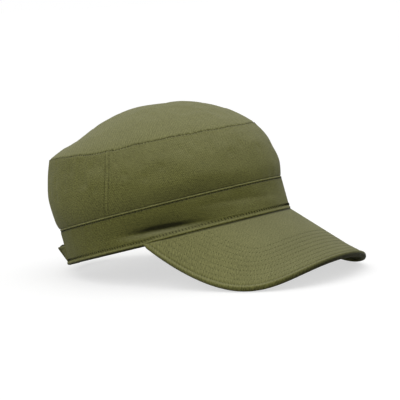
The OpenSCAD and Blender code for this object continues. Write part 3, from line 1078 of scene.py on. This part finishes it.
def wall_tone(phi, t):
    phi = signed(phi)
    from_top = (1 - t) * wall_length(phi)
    beside = from_side_seam(phi, t)
    # Painted shade in the top seam's groove.
    dark = seam_groove_shade(phi, from_top - 0.1)
    dark = dark + SIDE_ROW_DARK * (hump(beside, -SIDE_ROW, 0.5) + hump(beside, SIDE_ROW, 0.5))
    # Painted shade low on the wall, where it turns in under its bulge above the band, most near 42 degrees.
    dark = dark + (0.12 + 0.26 * hump(np.abs(phi), 42, 30)) * np.exp(-((t / 0.22) ** 2))
    toned = 0.08 * hump(from_top, 1.9, 0.9) + 0.2 * hump(beside, 0, 0.8)
    return toned - dark


WALL = Cloth(wall_skin, wall_outer, level(CLOTH), tone=wall_tone)
WALL_STEP = 0.62


def round_grain(phi, height):
    """The weave's place on cloth that runs round the cap."""
    return stack(phi * DEG * (S.half_l + S.half_w) / 2, height)


def wall_grain(points, phi, t):
    return round_grain(phi, t * WALL_RUN)


def wall_panel(at):
    """A panel of the wall. at turns its own shares into an angle and a share of the wall's height."""
    cloth = Cloth(
        lambda u, v: wall_skin(*at(u, v)),
        lambda u, v: wall_outer(*at(u, v)),
        level(CLOTH),
        tone=lambda u, v: wall_tone(*at(u, v)),
        grain=lambda points, u, v: wall_grain(points, *at(u, v)),
        step=(0.0005, 0.0005),
    )
    cloth.butted = True
    return cloth


BUTT_GAP = 0.02
WALL_EDGE = 0.55


def wall_sheet(name, cloth, arc, fine, node):
    us = -1 + 2 * spaced(arc * DEG * S.half_l, WALL_EDGE, 0.5, 6, WALL_STEP)
    piece = cloth.sheet(name, us, spaced(WALL_RUN, WALL_EDGE, 0.45, fine, 1.5))
    place(piece, "crown", node)


def front_at(u, v):
    """The front panel's angle and share of height, which starts tucked behind the band."""
    t = lerp(-HEM / 50, 1, v)
    return u * (side_seam(t) - BUTT_GAP), t


# The height from the band to above the wall, as the CAD counts it.
BACK_FULL = S.seam_h + 8 - S.band_h
BACK_RUN = 60
ARCH_ROW = 4.2


def back_low(phi):
    """Share of the wall's height at which the back panel starts: tucked behind the band, or at the
    opening."""
    rise = arch_height((S.half_w + 2) * sin_deg(phi))
    return np.maximum(-HEM / BACK_FULL, (rise - S.band_h) / BACK_FULL)


def back_at(u, v):
    """The back panel's angle and share of height: u runs from seam to seam and v from its lower edge up."""
    low = back_low(180 + u * (180 - side_seam(0) - BUTT_GAP))
    t = lerp(low, 1, v)
    return 180 + u * (180 - side_seam(t) - BUTT_GAP), t


BACK = wall_panel(back_at)


def back_hemmed(u, v):
    """The back panel's face: beside the opening the cut edge is turned in and sewn."""
    low = back_low(180 + u * (180 - side_seam(0) - BUTT_GAP))
    from_edge = v * (1 - low) * BACK_RUN
    hem = 0.35 * hump(from_edge, 1.2, 1.3) - 0.34 * hump(from_edge, ARCH_ROW, 0.7)
    return wall_outer(*back_at(u, v)) + smooth(-0.02, 0.03, low) * hem


BACK.outer = back_hemmed


def crown_wall():
    wall_sheet("crown_front_wall", wall_panel(front_at), 2 * side_seam(0.5), 5, "crown_front_panel")
    wall_sheet("crown_back_wall", BACK, 360 - 2 * side_seam(0.5), 6, "crown_back_panel")


def top_skin(phi, v):
    share = v * (1 - (RIM_TUCKED + seam_pull(phi, SKIRT)) / S.seam_w)
    points = dome_point(phi, share)
    from_rim = (1 - v) * TOP_RUN
    x, y = points[..., 0], points[..., 1]
    sag = (0.30 * patches(x, y, 62, 31) + 0.15 * patches(x, y, 24, 32)) * (1 - v**6)
    sag = sag - BACK_SINK * hump(v, 0.72, 0.22) * (1 - v**8) * hump(np.abs(signed(phi)), 140, 42)
    pull = 0.25 * seam_dots(phi) * seam_draw(phi) * hump(from_rim, 0.6, 1.4)
    pull = pull + 0.15 * ring_ripple(phi, 58, 33) * np.exp(-from_rim / 7) * np.clip(v * 2, 0, 1)
    settled = drape_at(phi, DRAPE_WALL_ROWS - 1 + (1 - v) * (DRAPE_TOP_ROWS - 1))
    sag = sag + settled * (1 - v**8) * np.minimum(4 * v, 1)
    lift = sag - pull - SKIRT * quarter(from_rim, SKIRT_RADIUS)
    points[..., 2] += lift + seam_wobble(phi, from_rim)
    return points


def top_tone(phi, v):
    from_rim = (1 - v) * TOP_RUN
    # Painted shade in the top seam's groove.
    return 0.08 * hump(from_rim, 1.9, 0.9) - seam_groove_shade(phi, from_rim)


def plan_grain(points, u, v):
    return stack(points[..., 0], points[..., 1])


def top_panel():
    cloth = Cloth(top_skin, nothing, level(CLOTH), turn=-1, tone=top_tone, grain=plan_grain)
    rings = spaced(TOP_RUN, WALL_EDGE, 0.45, 5, 1.5)
    rings = np.concatenate([[0], rings[rings > 0.02]])
    place(cloth.disc("top_panel_cloth", 768, rings), "crown", "top_panel")


def crown_stitches():
    """Near-black thread, which also stands for the painted shade of its holes, in the top seam's groove,
    and two rows along each side seam.
    """
    phi = np.linspace(-180, 180, 1500)
    path = WALL.face(phi, 1 - 0.3 / wall_length(phi), 0.1)
    sew("top_seam_thread", "crown", path, "thread_and_hole_shade", pitch=SEAM_PITCH, share=0.55, lift=-0.05, seed=41)
    t = np.linspace(0.03, 0.965, 160)
    for side, name in ((-1, "right"), (1, "left")):
        for index, row in enumerate((-SIDE_ROW, SIDE_ROW)):
            path = WALL.face(side * (side_seam(t) + row / (DEG * S.half_w)), t)
            seed = 42 + index + 2 * (side > 0)
            sew(f"side_seam_{name}_row_{index + 1}", "crown", path, radius=0.2, seed=seed)


# ---- Band ----

BAND_TOP_ROW = 1.9
BAND_LOW_ROW = 4.0
BAND_END_ROW = 3.4
BAND_REACH = 137
FOLD_GROOVE_SHADE = 0.9
FOLD_WEAR_AND_HIGHLIGHT = 1.0
BAND_STITCHES = {"pitch": 2.65, "share": 0.5}
# Creases: angle, share of the band's height, reach in degrees, depth in millimetres.
CREASES = ((-61, 0.31, 17, 4.6), (64, 0.42, 16, 1.5), (122, 0.5, 12, 0.8), (-20, 0.6, 26, 0.6))
CREASE_SLANT = 0.0039
CREASE_ABOVE = 0.28
CREASE_BELOW = 0.11
CREASE_SHADE = 0.26


def band_foot(phi):
    """How far the band's lower edge stands above the opening's edge: it rests on the bill at the front."""
    x = np.clip(np.abs(phi) / BILL_HALF_ANGLE, 0, 1)
    return (BILL_ROOT_RISE * (1 - x * x) + 0.7 * x * x) * (1 - smooth(0.93, 1.0, x))


def between_edges(phi, share):
    """A point of the band's plain cone, from its lower edge, 0, to its fold, 1."""
    return lerp(lower_edge(phi), upper_edge(phi), share[..., None])


def band_path(phi, v):
    """v 0 is the band's foot and v 1 its fold."""
    lift = band_foot(phi) / S.band_h
    return between_edges(phi, lift + (1 - lift) * v)


def band_skin(u, v):
    """u runs from -1 to 1 between the ends, which follow the opening's edge."""
    phi = band_angle(u, v)
    points = band_path(phi, v)
    height = (1 - v) * S.band_h
    foot = v * (S.band_h - band_foot(phi))
    pull = 0.22 * ring_ripple(phi, 40, 51) * (np.exp(-height / 6) + 0.8 * np.exp(-foot / 6))
    return points + flat_out(points) * (band_wave(phi, v) + pull)[..., None]


def band_wave(phi, v):
    """The band's large hollows and creases, which its lining follows."""
    wave = 0.35 * patches(phi * 1.6, v * BAND_RUN, 34, 52) * np.sin(math.pi * np.clip(v, 0, 1))
    for angle, middle, reach, depth in CREASES:
        line = crease_line(phi, v, angle, middle)
        above = np.exp(-((np.maximum(line, 0) / CREASE_ABOVE) ** 1.1))
        below = np.exp(-((np.maximum(-line, 0) / CREASE_BELOW) ** 2))
        wave = wave - depth * above * below * hump(phi, angle, reach)
    return wave


def crease_line(phi, v, angle, middle):
    """Height above a crease's line, as a share of the band's height."""
    return v - middle - CREASE_SLANT * (phi - angle) * np.sign(angle)


def band_angle(u, v):
    return u * arch_angle(v * S.band_h, S.half_w)


def band_outer(u, v):
    phi = band_angle(u, v)
    from_fold = (1 - v) * S.band_h
    from_foot = v * (S.band_h - band_foot(phi))
    from_end = (1 - np.abs(u)) * BAND_REACH * DEG * S.half_l
    relief = 0.35 * hump(from_fold, 0.5, 0.6) - 0.45 * hump(from_fold, BAND_TOP_ROW, 0.45)
    relief = relief + 0.5 * hump(from_foot, 1.3, 1.1) - 0.12 * hump(from_foot, BAND_LOW_ROW, 0.8)
    return relief + 0.3 * hump(from_end, 1.2, 1.2) - 0.34 * hump(from_end, BAND_END_ROW, 0.7)


def band_tone(u, v):
    phi = band_angle(u, v)
    from_fold = (1 - v) * S.band_h
    from_foot = v * (S.band_h - band_foot(phi))
    jitter = np.clip(0.8 + 0.2 * ring_ripple(phi, 150, 55), 0, 1)
    # Painted shade in the groove under the fold's ridge, where its stitches sit.
    dark = FOLD_GROOVE_SHADE * hump(from_fold, BAND_TOP_ROW + 0.2, 0.8) * jitter
    # Painted shade along the band's foot, in the crevice where it meets the bill.
    dark = dark + 1.0 * hump(from_foot, 0.0, 0.85)
    for angle, middle, reach, depth in CREASES:
        line = crease_line(phi, v, angle, middle)
        # Painted shade in each crease, and a broader one on its upper lip, which faces down.
        dark = dark + CREASE_SHADE * depth * hump(line, 0.04, 0.075) * hump(phi, angle, 0.95 * reach)
        dark = dark + 0.07 * depth * hump(line, 0.22, 0.22) * hump(phi, angle, 1.5 * reach)
    # The fold's ridge is made paler: wear, and a painted highlight where it catches the overhead light.
    return FOLD_WEAR_AND_HIGHLIGHT * hump(from_fold, 0.5, 0.7) + 0.4 * hump(from_foot, 1.9, 0.7) - dark


def band_grain(points, u, v):
    return round_grain(band_angle(u, v), v * S.band_h)


BAND = Cloth(
    band_skin, band_outer, level(BAND_CLOTH), tone=band_tone, grain=band_grain, step=(0.0004, 0.0005)
)


def outer_band():
    us = -1 + 2 * spaced(2 * 135 * DEG * BAND_RADIUS, 0.7, 0.5, 5, 0.7)
    piece = BAND.sheet("band_cloth", us, spaced(BAND_RUN, 0.7, 0.4, 8, 0.9))
    place(piece, "band", "outer_band")


def band_stitches():
    """Rows under the fold, above the foot and beside the two ends."""
    # The fold and foot rows use the near-black thread that also carries painted shade.
    u = np.linspace(-0.985, 0.985, 1400)
    path = BAND.face(u, np.full(len(u), 1 - BAND_TOP_ROW / S.band_h))
    sew("band_fold_thread", "band", path, "thread_and_hole_shade", radius=0.42, lift=0.28, seed=61, **BAND_STITCHES)
    phi = band_angle(u, 0.1 + 0 * u)
    path = BAND.face(u, BAND_LOW_ROW / (S.band_h - band_foot(phi)))
    sew("band_foot_thread", "band", path, "thread_and_hole_shade", radius=0.52, lift=0.16, slant=1.3, seed=62,
        **BAND_STITCHES)
    v = np.linspace(0.03, 0.93, 80)
    end = 1 - BAND_END_ROW / (BAND_REACH * DEG * S.half_l)
    for side, name in ((-1, "right"), (1, "left")):
        sew(f"band_end_thread_{name}", "band", BAND.face(np.full(len(v), side * end), v), seed=63)


# ---- Bill ----

BILL_HALF_THICKNESS = 2.25
BILL_EDGE = 3.0
BILL_ROW_FIRST = 4.3
BILL_ROW_STEP = 4.3
BILL_ROWS = 9
BILL_GROOVE = 0.15
BILL_ROLL = 0.65
BILL_COVER = 1.0
BILL_START = -1.2
BILL_END_SHARE = 0.988
BILL_SPREAD = 0.86
# How far the bill's middle layer lies under its upper skin, at the rim and inside it.
BILL_SINK_RIM = 0.8
BILL_SINK = 2.0
BOARD_HALF = 0.62
BOARD_START = 0.8
BOARD_INSET = 4.6
BOARD_SHARE = 0.93


def bill_path(s, v, start=BILL_START, inset=0.0):
    """s runs from corner to corner, and v from the band's foot to inset short of the rim."""
    rim_x = np.sin(math.pi / 2 * np.clip(s, -1, 1))
    return bill_skin(lerp(s, rim_x, v), lerp(start, bill_reach(rim_x) - inset, v))


RIM = bill_path(np.linspace(-1, 1, 700), np.ones(700))


def bill_middle(d):
    """Depth of the bill's middle layer under its upper skin, at a distance from the rim."""
    return -lerp(BILL_SINK_RIM, BILL_SINK, smooth(0, 20, d))


def known_distance(path):
    """Distances from a path's points to the rim, worked out once for each grid."""
    known = {}

    def distance(s, v):
        s, v = np.broadcast_arrays(s, v)
        key = (s.tobytes(), v.tobytes())
        if key not in known:
            known[key] = nearest(path(s, v), RIM)
        return known[key]

    return distance


def bill_rows(d):
    """1 along each row of stitches, which run parallel to the rim."""
    rows = 0
    for k in range(BILL_ROWS):
        rows = rows + hump(d, BILL_ROW_FIRST + BILL_ROW_STEP * k, 0.75)
    return rows


def row_fade(s):
    """The rows lie deepest towards the wearer's left; the near lobe is pressed smooth."""
    return lerp(0.3, 1.0, smooth(-0.5, 0.1, s))


def bill_grain(points, s, v):
    return stack(points[..., 0], points[..., 1] * 1.3)


BILL_DISTANCE = known_distance(bill_path)


def bill_cover(side):
    """The bill's top cover, side 1, or its under cover, side -1. Depths are measured from the bill's
    upper skin and follow from the distance to the rim."""

    def depths(s, v):
        d = BILL_DISTANCE(s, v)
        open_ = np.sqrt(1 - (1 - np.clip(d / BILL_EDGE, 0, 1)) ** 2)
        grooves = bill_rows(d) * row_fade(s) + 2.0 * hump(d, BILL_ROW_FIRST, 0.9)
        outside = BILL_HALF_THICKNESS * open_ - BILL_GROOVE * grooves + BILL_ROLL * hump(d, 2.2, 1.4)
        inside = np.maximum(outside - BILL_COVER, 0.12 * open_)
        return bill_middle(d) + side * outside, bill_middle(d) + side * inside

    def outer(s, v):
        return depths(s, v)[0 if side > 0 else 1]

    def inner(s, v):
        return depths(s, v)[1 if side > 0 else 0]

    def tone(s, v):
        d = BILL_DISTANCE(s, v)
        from_band = v * (BILL_LENGTH - BILL_START) + BILL_START
        dark = 0.18 * bill_rows(d) * row_fade(s) + 0.16 * hump(d, BILL_ROW_FIRST, 0.7)
        # Painted shade where the bill meets the band.
        dark = dark + 1.0 * hump(from_band, 0.0, 1.1)
        dark = dark + lerp(0.08, -0.3, smooth(0.1, 0.75, np.abs(s)))
        far = smooth(0.35, 0.6, s)
        if side < 0:
            # Under cover: painted shade along the near rim, and on the far lobe a painted lightening for
            # the light the floor throws up under it.
            return 0.6 * far * hump(d, 0.0, 14) - dark - 0.8 * hump(d, 0.0, 3.0) * (1 - far)
        # Painted shade on the side of the rim's roll, which faces away from the overhead light.
        under_rim = hump(d, 0.0, 1.5) * lerp(0.6, 1.0, smooth(-0.5, 0.0, s)) * (1 - far)
        # The top of the rim's roll is a little paler: wear, and a painted highlight.
        return 0.10 * hump(d, 2.3, 0.9) - dark - under_rim

    return Cloth(bill_path, outer, inner, turn=-1, step=(0.0006, 0.0006), tone=tone, grain=bill_grain)


TOP_COVER = bill_cover(1)
UNDER_COVER = bill_cover(-1)


def bill_spread(count):
    """Places from corner to corner, closer together where the bill narrows."""
    turn = math.pi / 2 * BILL_SPREAD
    return BILL_END_SHARE * np.sin(np.linspace(-1, 1, count) * turn) / math.sin(turn)


def bill_covers():
    rows = spaced(73, 0.5, 0.55, 8, 0.7)
    for name, cloth, count in (("top", TOP_COVER, 330), ("under", UNDER_COVER, 250)):
        piece = cloth.sheet(f"bill_{name}_cloth", bill_spread(count), rows)
        place(piece, "bill", f"bill_{name}_cover")


def bill_row_path(s, v, d, distance):
    """The line on the bill at a distance from its rim, as shares s and v, found in a grid d of
    distances."""
    inside = d.max(1) > distance
    found = []
    for line in d[inside]:
        k = np.nonzero(line > distance)[0][-1]
        found.append(v[k] + (v[k + 1] - v[k]) * (line[k] - distance) / (line[k] - line[k + 1]))
    return s[inside], np.array(found)


def bill_stitches():
    spread, shares = bill_spread(420), np.linspace(0.01, 1, 90)
    distances = nearest(bill_path(*np.meshgrid(spread, shares, indexing="ij")), RIM)
    how = {"pitch": 2.7, "share": 0.42, "radius": 0.26, "lift": 0.03}
    for k in range(BILL_ROWS):
        s, v = bill_row_path(spread, shares, distances, BILL_ROW_FIRST + BILL_ROW_STEP * k)
        s, v = s[v > 0.035], v[v > 0.035]
        sew(f"bill_top_row_{k + 1}", "bill", TOP_COVER.face(s, v), seed=70 + k, **how)
        points, normals = UNDER_COVER.skin(s, v), UNDER_COVER.normal(s, v)
        path = points + normals * UNDER_COVER.inner(s, v)[:, None], -normals
        sew(f"bill_under_row_{k + 1}", "bill", path, seed=70 + k, **how)


def board_path(s, v):
    return bill_path(s, v, BOARD_START, BOARD_INSET)


def bill_board():
    """The stiff board between the covers, with a rounded edge."""
    distance = known_distance(board_path)
    cloth = Cloth(
        board_path,
        lambda s, v: bill_middle(distance(s, v)) + BOARD_HALF,
        lambda s, v: bill_middle(distance(s, v)) - BOARD_HALF,
        turn=-1,
        step=(0.001, 0.001),
        grain=bill_grain,
    )
    piece = cloth.sheet("bill_board_sheet", BOARD_SHARE * bill_spread(150), spaced(66, 0.6, 1, 2, 2))
    place(piece, "board", "bill_board")


# ---- Inside the crown and the band ----


def flat_layer(skin, depth, thickness, **more):
    return Cloth(skin, level(depth), level(depth + thickness), **more)


def inner_grain(points, phi, v):
    return round_grain(phi, v * 30)


def band_line(phi, v):
    points = between_edges(phi, v)
    return points + flat_out(points) * band_wave(phi, v)[..., None]


SWEATBAND_LOW = 0.02
SWEATBAND_HIGH = 0.97


def sweatband_relief(phi, v):
    """The sweatband's inner face: a bound upper edge, two stitch grooves and the padding's soft swell."""
    from_top = (SWEATBAND_HIGH - v) * S.band_h
    from_low = (v - SWEATBAND_LOW) * S.band_h
    relief = 0.35 * hump(from_top, 3.6, 0.7) - 0.35 * hump(from_top, 1.3, 1.5)
    relief = relief + 0.35 * hump(from_low, 3.2, 0.7)
    wave = 0.16 * ring_ripple(phi, 52, 81) * (np.exp(-from_top / 6) + np.exp(-from_low / 6))
    return relief - 0.35 * np.sin(math.pi * np.clip(v, 0, 1)) + wave


# The band's layers: piece, node, finish, reach in degrees, two shares of the band's height, depth and
# thickness.
BAND_LAYERS = (
    ("band_stiffener", "band_interlining", "buckram", 124, 0.09, 0.9, UNDER_BAND + 0.02, TAPE),
    ("sweatband_padding", "sweatband_pad", "pad", 126, 0.1, 0.88, UNDER_INTERLINING, PAD),
    ("sweatband_cloth", "sweatband", "sweatband", 128, SWEATBAND_LOW, SWEATBAND_HIGH, UNDER_PAD, CLOTH),
)


def band_linings():
    for name, node, finish, reach, low, high, depth, thickness in BAND_LAYERS:
        cloth = flat_layer(band_line, depth, thickness, grain=inner_grain)
        if node == "sweatband":
            plain = cloth.inner
            cloth.inner = lambda phi, v: plain(phi, v) + sweatband_relief(phi, v)
        us = -reach + 2 * reach * spaced(2 * reach * DEG * BAND_RADIUS, thickness / 2, 0.5, 2, 1.1)
        vs = low + (high - low) * spaced(BAND_RUN * (high - low), thickness / 2, 0.4, 4, 1.1)
        place(cloth.sheet(name, us, vs), finish, node)
    phi = np.linspace(-127, 127, 1200)
    for index, from_edge in enumerate((3.2, BAND_RUN * 0.95 - 3.6)):
        v = np.full(len(phi), SWEATBAND_LOW + from_edge / S.band_h)
        points = band_line(phi, v)
        normal = -flat_out(points)
        points = points + normal * (UNDER_SWEATBAND - sweatband_relief(phi, v))[:, None]
        sew(f"sweatband_row_{index + 1}", "sweatband", (points, normal), pitch=2.8, seed=90 + index)


SIDE_TAPE = 2.8
WALL_LAYER_RUN = 53


def wall_layer(name, node, finish, first, last, low, high, thickness, step=1.2):
    """A layer behind the wall between two angles and two shares of its height."""
    cloth = flat_layer(wall_skin, UNDER_WALL, thickness, grain=wall_grain)
    arc = (last - first) * DEG * 90
    us = first + (last - first) * spaced(arc, thickness / 2, 0.5, 1.5, step)
    vs = low + (high - low) * spaced(WALL_LAYER_RUN * (high - low), thickness / 2, 0.5, 1.5, step)
    place(cloth.sheet(name, us, vs), finish, node)


def tape_shares(length):
    return spaced(length, TAPE / 2, 0.4, 1.5, 0.6)


def side_seam_tape(side, name):
    def skin(u, t):
        return wall_skin(side * side_seam(t) + u, t)

    cloth = flat_layer(skin, UNDER_WALL, TAPE, grain=wall_grain)
    us = -SIDE_TAPE + 2 * SIDE_TAPE * tape_shares(8.2)
    piece = cloth.sheet(f"side_seam_tape_{name}", us, 0.13 + 0.71 * tape_shares(38))
    place(piece, "tape", "side_seam_tapes")


def crown_linings():
    wall_layer("front_buckram_sheet", "front_buckram", "buckram", -68, 68, 0.13, 0.84, TAPE)
    side_seam_tape(-1, "right")
    side_seam_tape(1, "left")
    seam = flat_layer(wall_skin, UNDER_WALL, TAPE, grain=wall_grain)
    phi = np.linspace(-180, 180, 481)[:-1]
    ring = seam.sheet("top_seam_tape_ring", phi, 0.87 + 0.09 * tape_shares(5), closed=True)
    place(ring, "tape", "top_seam_tape")
    wall_layer("care_label_sheet", "care_label", "label", 100, 116, 0.13, 0.48, TAPE / 2, step=0.7)


BINDING_WIDTH = 7
BINDING_REACH = 86


def arch_line(angle, width):
    """The opening's edge, grown by width, on the back of the cap: angle from -90 to 90 degrees across its
    top."""
    x = (ARCH_HALF_WIDTH + width) * sin_deg(angle)
    z = (ARCH_H + width) * np.abs(cos_deg(angle)) ** (2 / ARCH_POWER)
    return x, z


def back_surface(x, z):
    """A point of the cap's outer skin at the back, from its distance from the middle and its height."""
    t = np.clip((z - S.band_h) / BACK_FULL, 0, 1)
    t = np.clip(t - 0.06, 0, 1)
    on_band = z < S.band_h
    wall_half = wall_point(np.full(x.shape, 90.0), t)[..., 0]
    half = np.where(on_band, S.half_w - S.taper * z / S.band_h, wall_half)
    phi = np.sign(x) * (180 - np.arcsin(np.clip(np.abs(x) / half, 0, 1)) / DEG)
    phi = np.where(x == 0, 180.0, phi)
    wall = wall_point(phi, t)
    wall[..., 2] = z
    return np.where(on_band[..., None], between_edges(phi, z / S.band_h), wall)


def arch_binding():
    def skin(angle, v):
        x, z = arch_line(angle, BINDING_WIDTH * v)
        return back_surface(-x, z)

    def grain(points, angle, v):
        return stack(angle * DEG * ARCH_HALF_WIDTH, v * BINDING_WIDTH)

    cloth = flat_layer(skin, UNDER_BAND + GAP, TAPE, grain=grain)
    us = -BINDING_REACH + 2 * BINDING_REACH * spaced(150, TAPE / 2, 0.4, 1, 0.8)
    piece = cloth.sheet("arch_binding_tape", us, 0.05 + 0.95 * tape_shares(BINDING_WIDTH))
    place(piece, "tape", "arch_binding")


# ---- Size adjuster ----


def tab_skin(angle, z):
    """The closed tabs' outer face, from the angle off the back and the height. Beyond its sewn end a tab
    stands upright and lies against the band's inside."""
    side = np.abs(angle)
    inside_band = 66.2 - 2.6 * smooth(66, 72, side)
    radius = lerp(TAB_RADIUS + z * TAB_LEAN, inside_band, smooth(50, 65, side))
    return stack(radius * sin_deg(angle), TAB_CENTRE + radius * cos_deg(angle), z)


def tab_grain(points, angle, z):
    return stack(angle * DEG * TAB_RADIUS, z)


HOOK_END = -42
LOOP_END = 22
TAIL = 75
THREAD_TAIL = 57
TAB_CLOTH = 1.5
TAB_ROW = 2.6
LOOP_DEPTH = 3.7
HOOK_STRIP_DEPTH = 1.6
LOOP_STRIP_DEPTH = 2.7
STRIP = 0.9
STRIP_MARGIN = 1.2


def tab_relief(first, last):
    """The doubled tab's face: turned edges with a row of stitches inside them."""

    def relief(angle, z):
        from_edge = np.minimum(z - TAB_LOW, TAB_HIGH - z)
        from_end = np.minimum(angle - first, last - angle) * DEG * TAB_RADIUS
        d = np.minimum(from_edge, from_end)
        edge = 0.22 * hump(d, 1.1, 1.0) - 0.28 * hump(d, TAB_ROW, 0.6)
        return edge + 0.05 * ring_ripple(angle * 2, 60, 101)

    return relief


def tab_cloth(first, last, depth, thickness):
    """A tab that lies depth under the closed tabs' outer face and comes out to it between the two ends."""
    relief = tab_relief(first, last)

    def sunk(angle):
        return depth * (1 - smooth(44, 55, np.abs(angle)))

    def outer(angle, z):
        return relief(angle, z) * 0.8 - sunk(angle)

    def inner(angle, z):
        return -sunk(angle) - thickness + 0 * z

    return Cloth(tab_skin, outer, inner, turn=-1, step=(0.05, 0.01), grain=tab_grain)


def tab_piece(name, first, last, depth, thickness, margin=0.0, plain=False):
    cloth = tab_cloth(first, last, depth, thickness)
    if plain:
        cloth.outer = level(depth)
    us = first + (last - first) * spaced((last - first) * DEG * TAB_RADIUS, thickness / 2, 0.4, 4, 0.8)
    height = TAB_HIGH - TAB_LOW - 2 * margin
    zs = TAB_LOW + margin + height * spaced(height, thickness / 2, 0.35, 4, 0.8)
    return cloth, cloth.sheet(name, us, zs)


def tab_stitches(name, cloth, free_end, tail, seed):
    """One row of stitches along both edges and round the free end of a tab."""
    turn = math.copysign(TAB_ROW / (DEG * TAB_RADIUS), tail - free_end)
    along = np.linspace(*sorted((free_end + turn, tail)), 400)
    outward, homeward = (along, along[::-1]) if tail < free_end else (along[::-1], along)
    low, high = TAB_LOW + TAB_ROW, TAB_HIGH - TAB_ROW
    angle = np.concatenate([outward, np.full(40, free_end + turn), homeward])
    z = np.concatenate([np.full(400, low), np.linspace(low, high, 40), np.full(400, high)])
    return sew(name, "band", cloth.face(angle, z), body=None, radius=0.2, seed=seed)


def adjuster():
    """The straps stay where they are built, with no body to move with; the fastening strips ride on the
    straps' moving halves.
    """
    hook, hook_strap = tab_piece("hook_strap", HOOK_END, TAIL, 0, TAB_CLOTH)
    loop, loop_strap = tab_piece("loop_strap", -TAIL, LOOP_END, LOOP_DEPTH, TAB_CLOTH)
    hook_rows = tab_stitches("hook_strap_thread", hook, HOOK_END, THREAD_TAIL, 111)
    loop_rows = tab_stitches("loop_strap_thread", loop, LOOP_END, -THREAD_TAIL, 112)
    place(hook_strap, "band", "tab_base", "hook_tab", body=None)
    place(loop_strap, "band", "loop_tab", body=None)
    for piece in (hook_strap, hook_rows):
        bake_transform(piece)
    for piece in (loop_strap, loop_rows):
        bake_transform(piece)
    strip = {"margin": STRIP_MARGIN, "plain": True}
    _, hooks = tab_piece("hook_strip_pile", HOOK_END + 2, LOOP_END - 2, HOOK_STRIP_DEPTH, STRIP, **strip)
    place(hooks, "hook", "hook_strip", body="hook_side")
    _, loops = tab_piece("loop_strip_pile", HOOK_END + 1, LOOP_END - 2, LOOP_STRIP_DEPTH, STRIP, **strip)
    place(loops, "loop", "loop_strip", body="loop_side")


def arch_stitches():
    """The row that holds the turned edge over the opening."""
    u = np.linspace(-0.42, 0.42, 700)
    low = back_low(back_at(u, 0 * u)[0])
    v = ARCH_ROW / ((1 - low) * BACK_RUN)
    inside = low > 0.0
    sew("arch_edge_thread", "crown", BACK.face(u[inside], v[inside]), seed=121)


# ---- Build ----


crown_wall()
top_panel()
crown_stitches()
outer_band()
band_stitches()
bill_covers()
bill_stitches()
bill_board()
band_linings()
crown_linings()
arch_binding()
arch_stitches()
adjuster()


# ---- Stage, light and camera ----


FLOOR_DROP = 0.0003
FLOOR_HALF = 12.0
FLOOR_BOUNCE = 0.42
FLOOR_PALE = 0.45
FLOOR_GLOW = 0.62
WHITE = (1, 1, 1)


def stage():
    """A pale floor, which glows a little to the camera only."""
    low = min(cad_box[0].z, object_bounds()[0].z) - FLOOR_DROP
    mesh = bpy.data.meshes.new("floor")
    corners = [(x * FLOOR_HALF, y * FLOOR_HALF, low) for x, y in ((-1, -1), (1, -1), (1, 1), (-1, 1))]
    mesh.from_pydata(corners, [], [(0, 1, 2, 3)])
    floor = bpy.data.objects.new("floor", mesh)
    bpy.context.scene.collection.objects.link(floor)
    paint = Finish("floor_paint", roughness=0.8)
    seen = paint.camera_ray()
    cloud = paint.noise(paint.place(), 4.0)
    pale = paint.mix(cloud, shade(WHITE, FLOOR_PALE), shade(WHITE, FLOOR_PALE + 0.01))
    paint.colour(paint.mix(seen, shade(WHITE, FLOOR_BOUNCE), pale))
    paint.surface_is("Emission Color", shade(WHITE))
    paint.surface_is("Emission Strength", paint.times(seen, FLOOR_GLOW))
    floor.data.materials.append(paint.material)
    floor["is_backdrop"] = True


def area_light(name, at, aim, size, power):
    lamp = bpy.data.lights.new(name, "AREA")
    lamp.shape = "RECTANGLE"
    lamp.size = size
    lamp.size_y = size
    lamp.energy = power
    light = bpy.data.objects.new(name, lamp)
    light.location = at
    light.rotation_euler = (Vector(aim) - Vector(at)).to_track_quat("-Z", "Y").to_euler()
    bpy.context.scene.collection.objects.link(light)


SKY_LOW = 0.49
SKY_HIGH = 0.95
BACKDROP = 1.0


def soft_sky():
    """A white studio dome, brighter overhead. The camera sees a plain white backdrop."""
    world = bpy.data.worlds.new("studio")
    world.use_nodes = True
    sky = Nodes(world.node_tree)
    up = sky.split(sky.node("TexCoord")["Generated"])[2]
    glow = sky.span(up, 0, 1, SKY_LOW, SKY_HIGH)
    strength = sky.node("Mix", {0: sky.camera_ray(), 2: glow, 3: BACKDROP})[0]
    sky.set(sky.tree.nodes["Background"], {"Color": shade(WHITE), "Strength": strength})
    bpy.context.scene.world = world


AIM = (0, -0.02, 0.04)


def studio_light():
    area_light("overhead_softbox", (0.05, -0.1, 1.4), AIM, size=1.6, power=2.7)
    area_light("left_fill", (-1.3, 0.2, 0.9), AIM, size=1.0, power=1.7)
    soft_sky()
    bpy.context.scene.view_settings.view_transform = "Standard"


CAMERA_AZIMUTH = -51.46
CAMERA_ELEVATION = 6.98
CAMERA_ROLL = -3.70
CAMERA_DISTANCE = 1.5045
CAMERA_SENSOR = 36
CAMERA_LENS = 164.96
AIM_RIGHT = 0.005007
AIM_DOWN = 0.006427


def camera():
    turn = Matrix.Rotation(CAMERA_AZIMUTH * DEG, 4, "Z")
    turn = turn @ Matrix.Rotation((90 - CAMERA_ELEVATION) * DEG, 4, "X")
    turn = turn @ Matrix.Rotation(CAMERA_ROLL * DEG, 4, "Z")
    data = bpy.data.cameras.new("camera")
    data.sensor_width = CAMERA_SENSOR
    data.lens = CAMERA_LENS
    data.clip_end = 50
    holder = bpy.data.objects.new("camera", data)
    back_off = Vector((AIM_RIGHT, -AIM_DOWN, CAMERA_DISTANCE))
    holder.matrix_world = Matrix.Translation(Vector(AIM) + turn @ back_off) @ turn
    bpy.context.scene.collection.objects.link(holder)
    bpy.context.scene.camera = holder


stage()
studio_light()
camera()
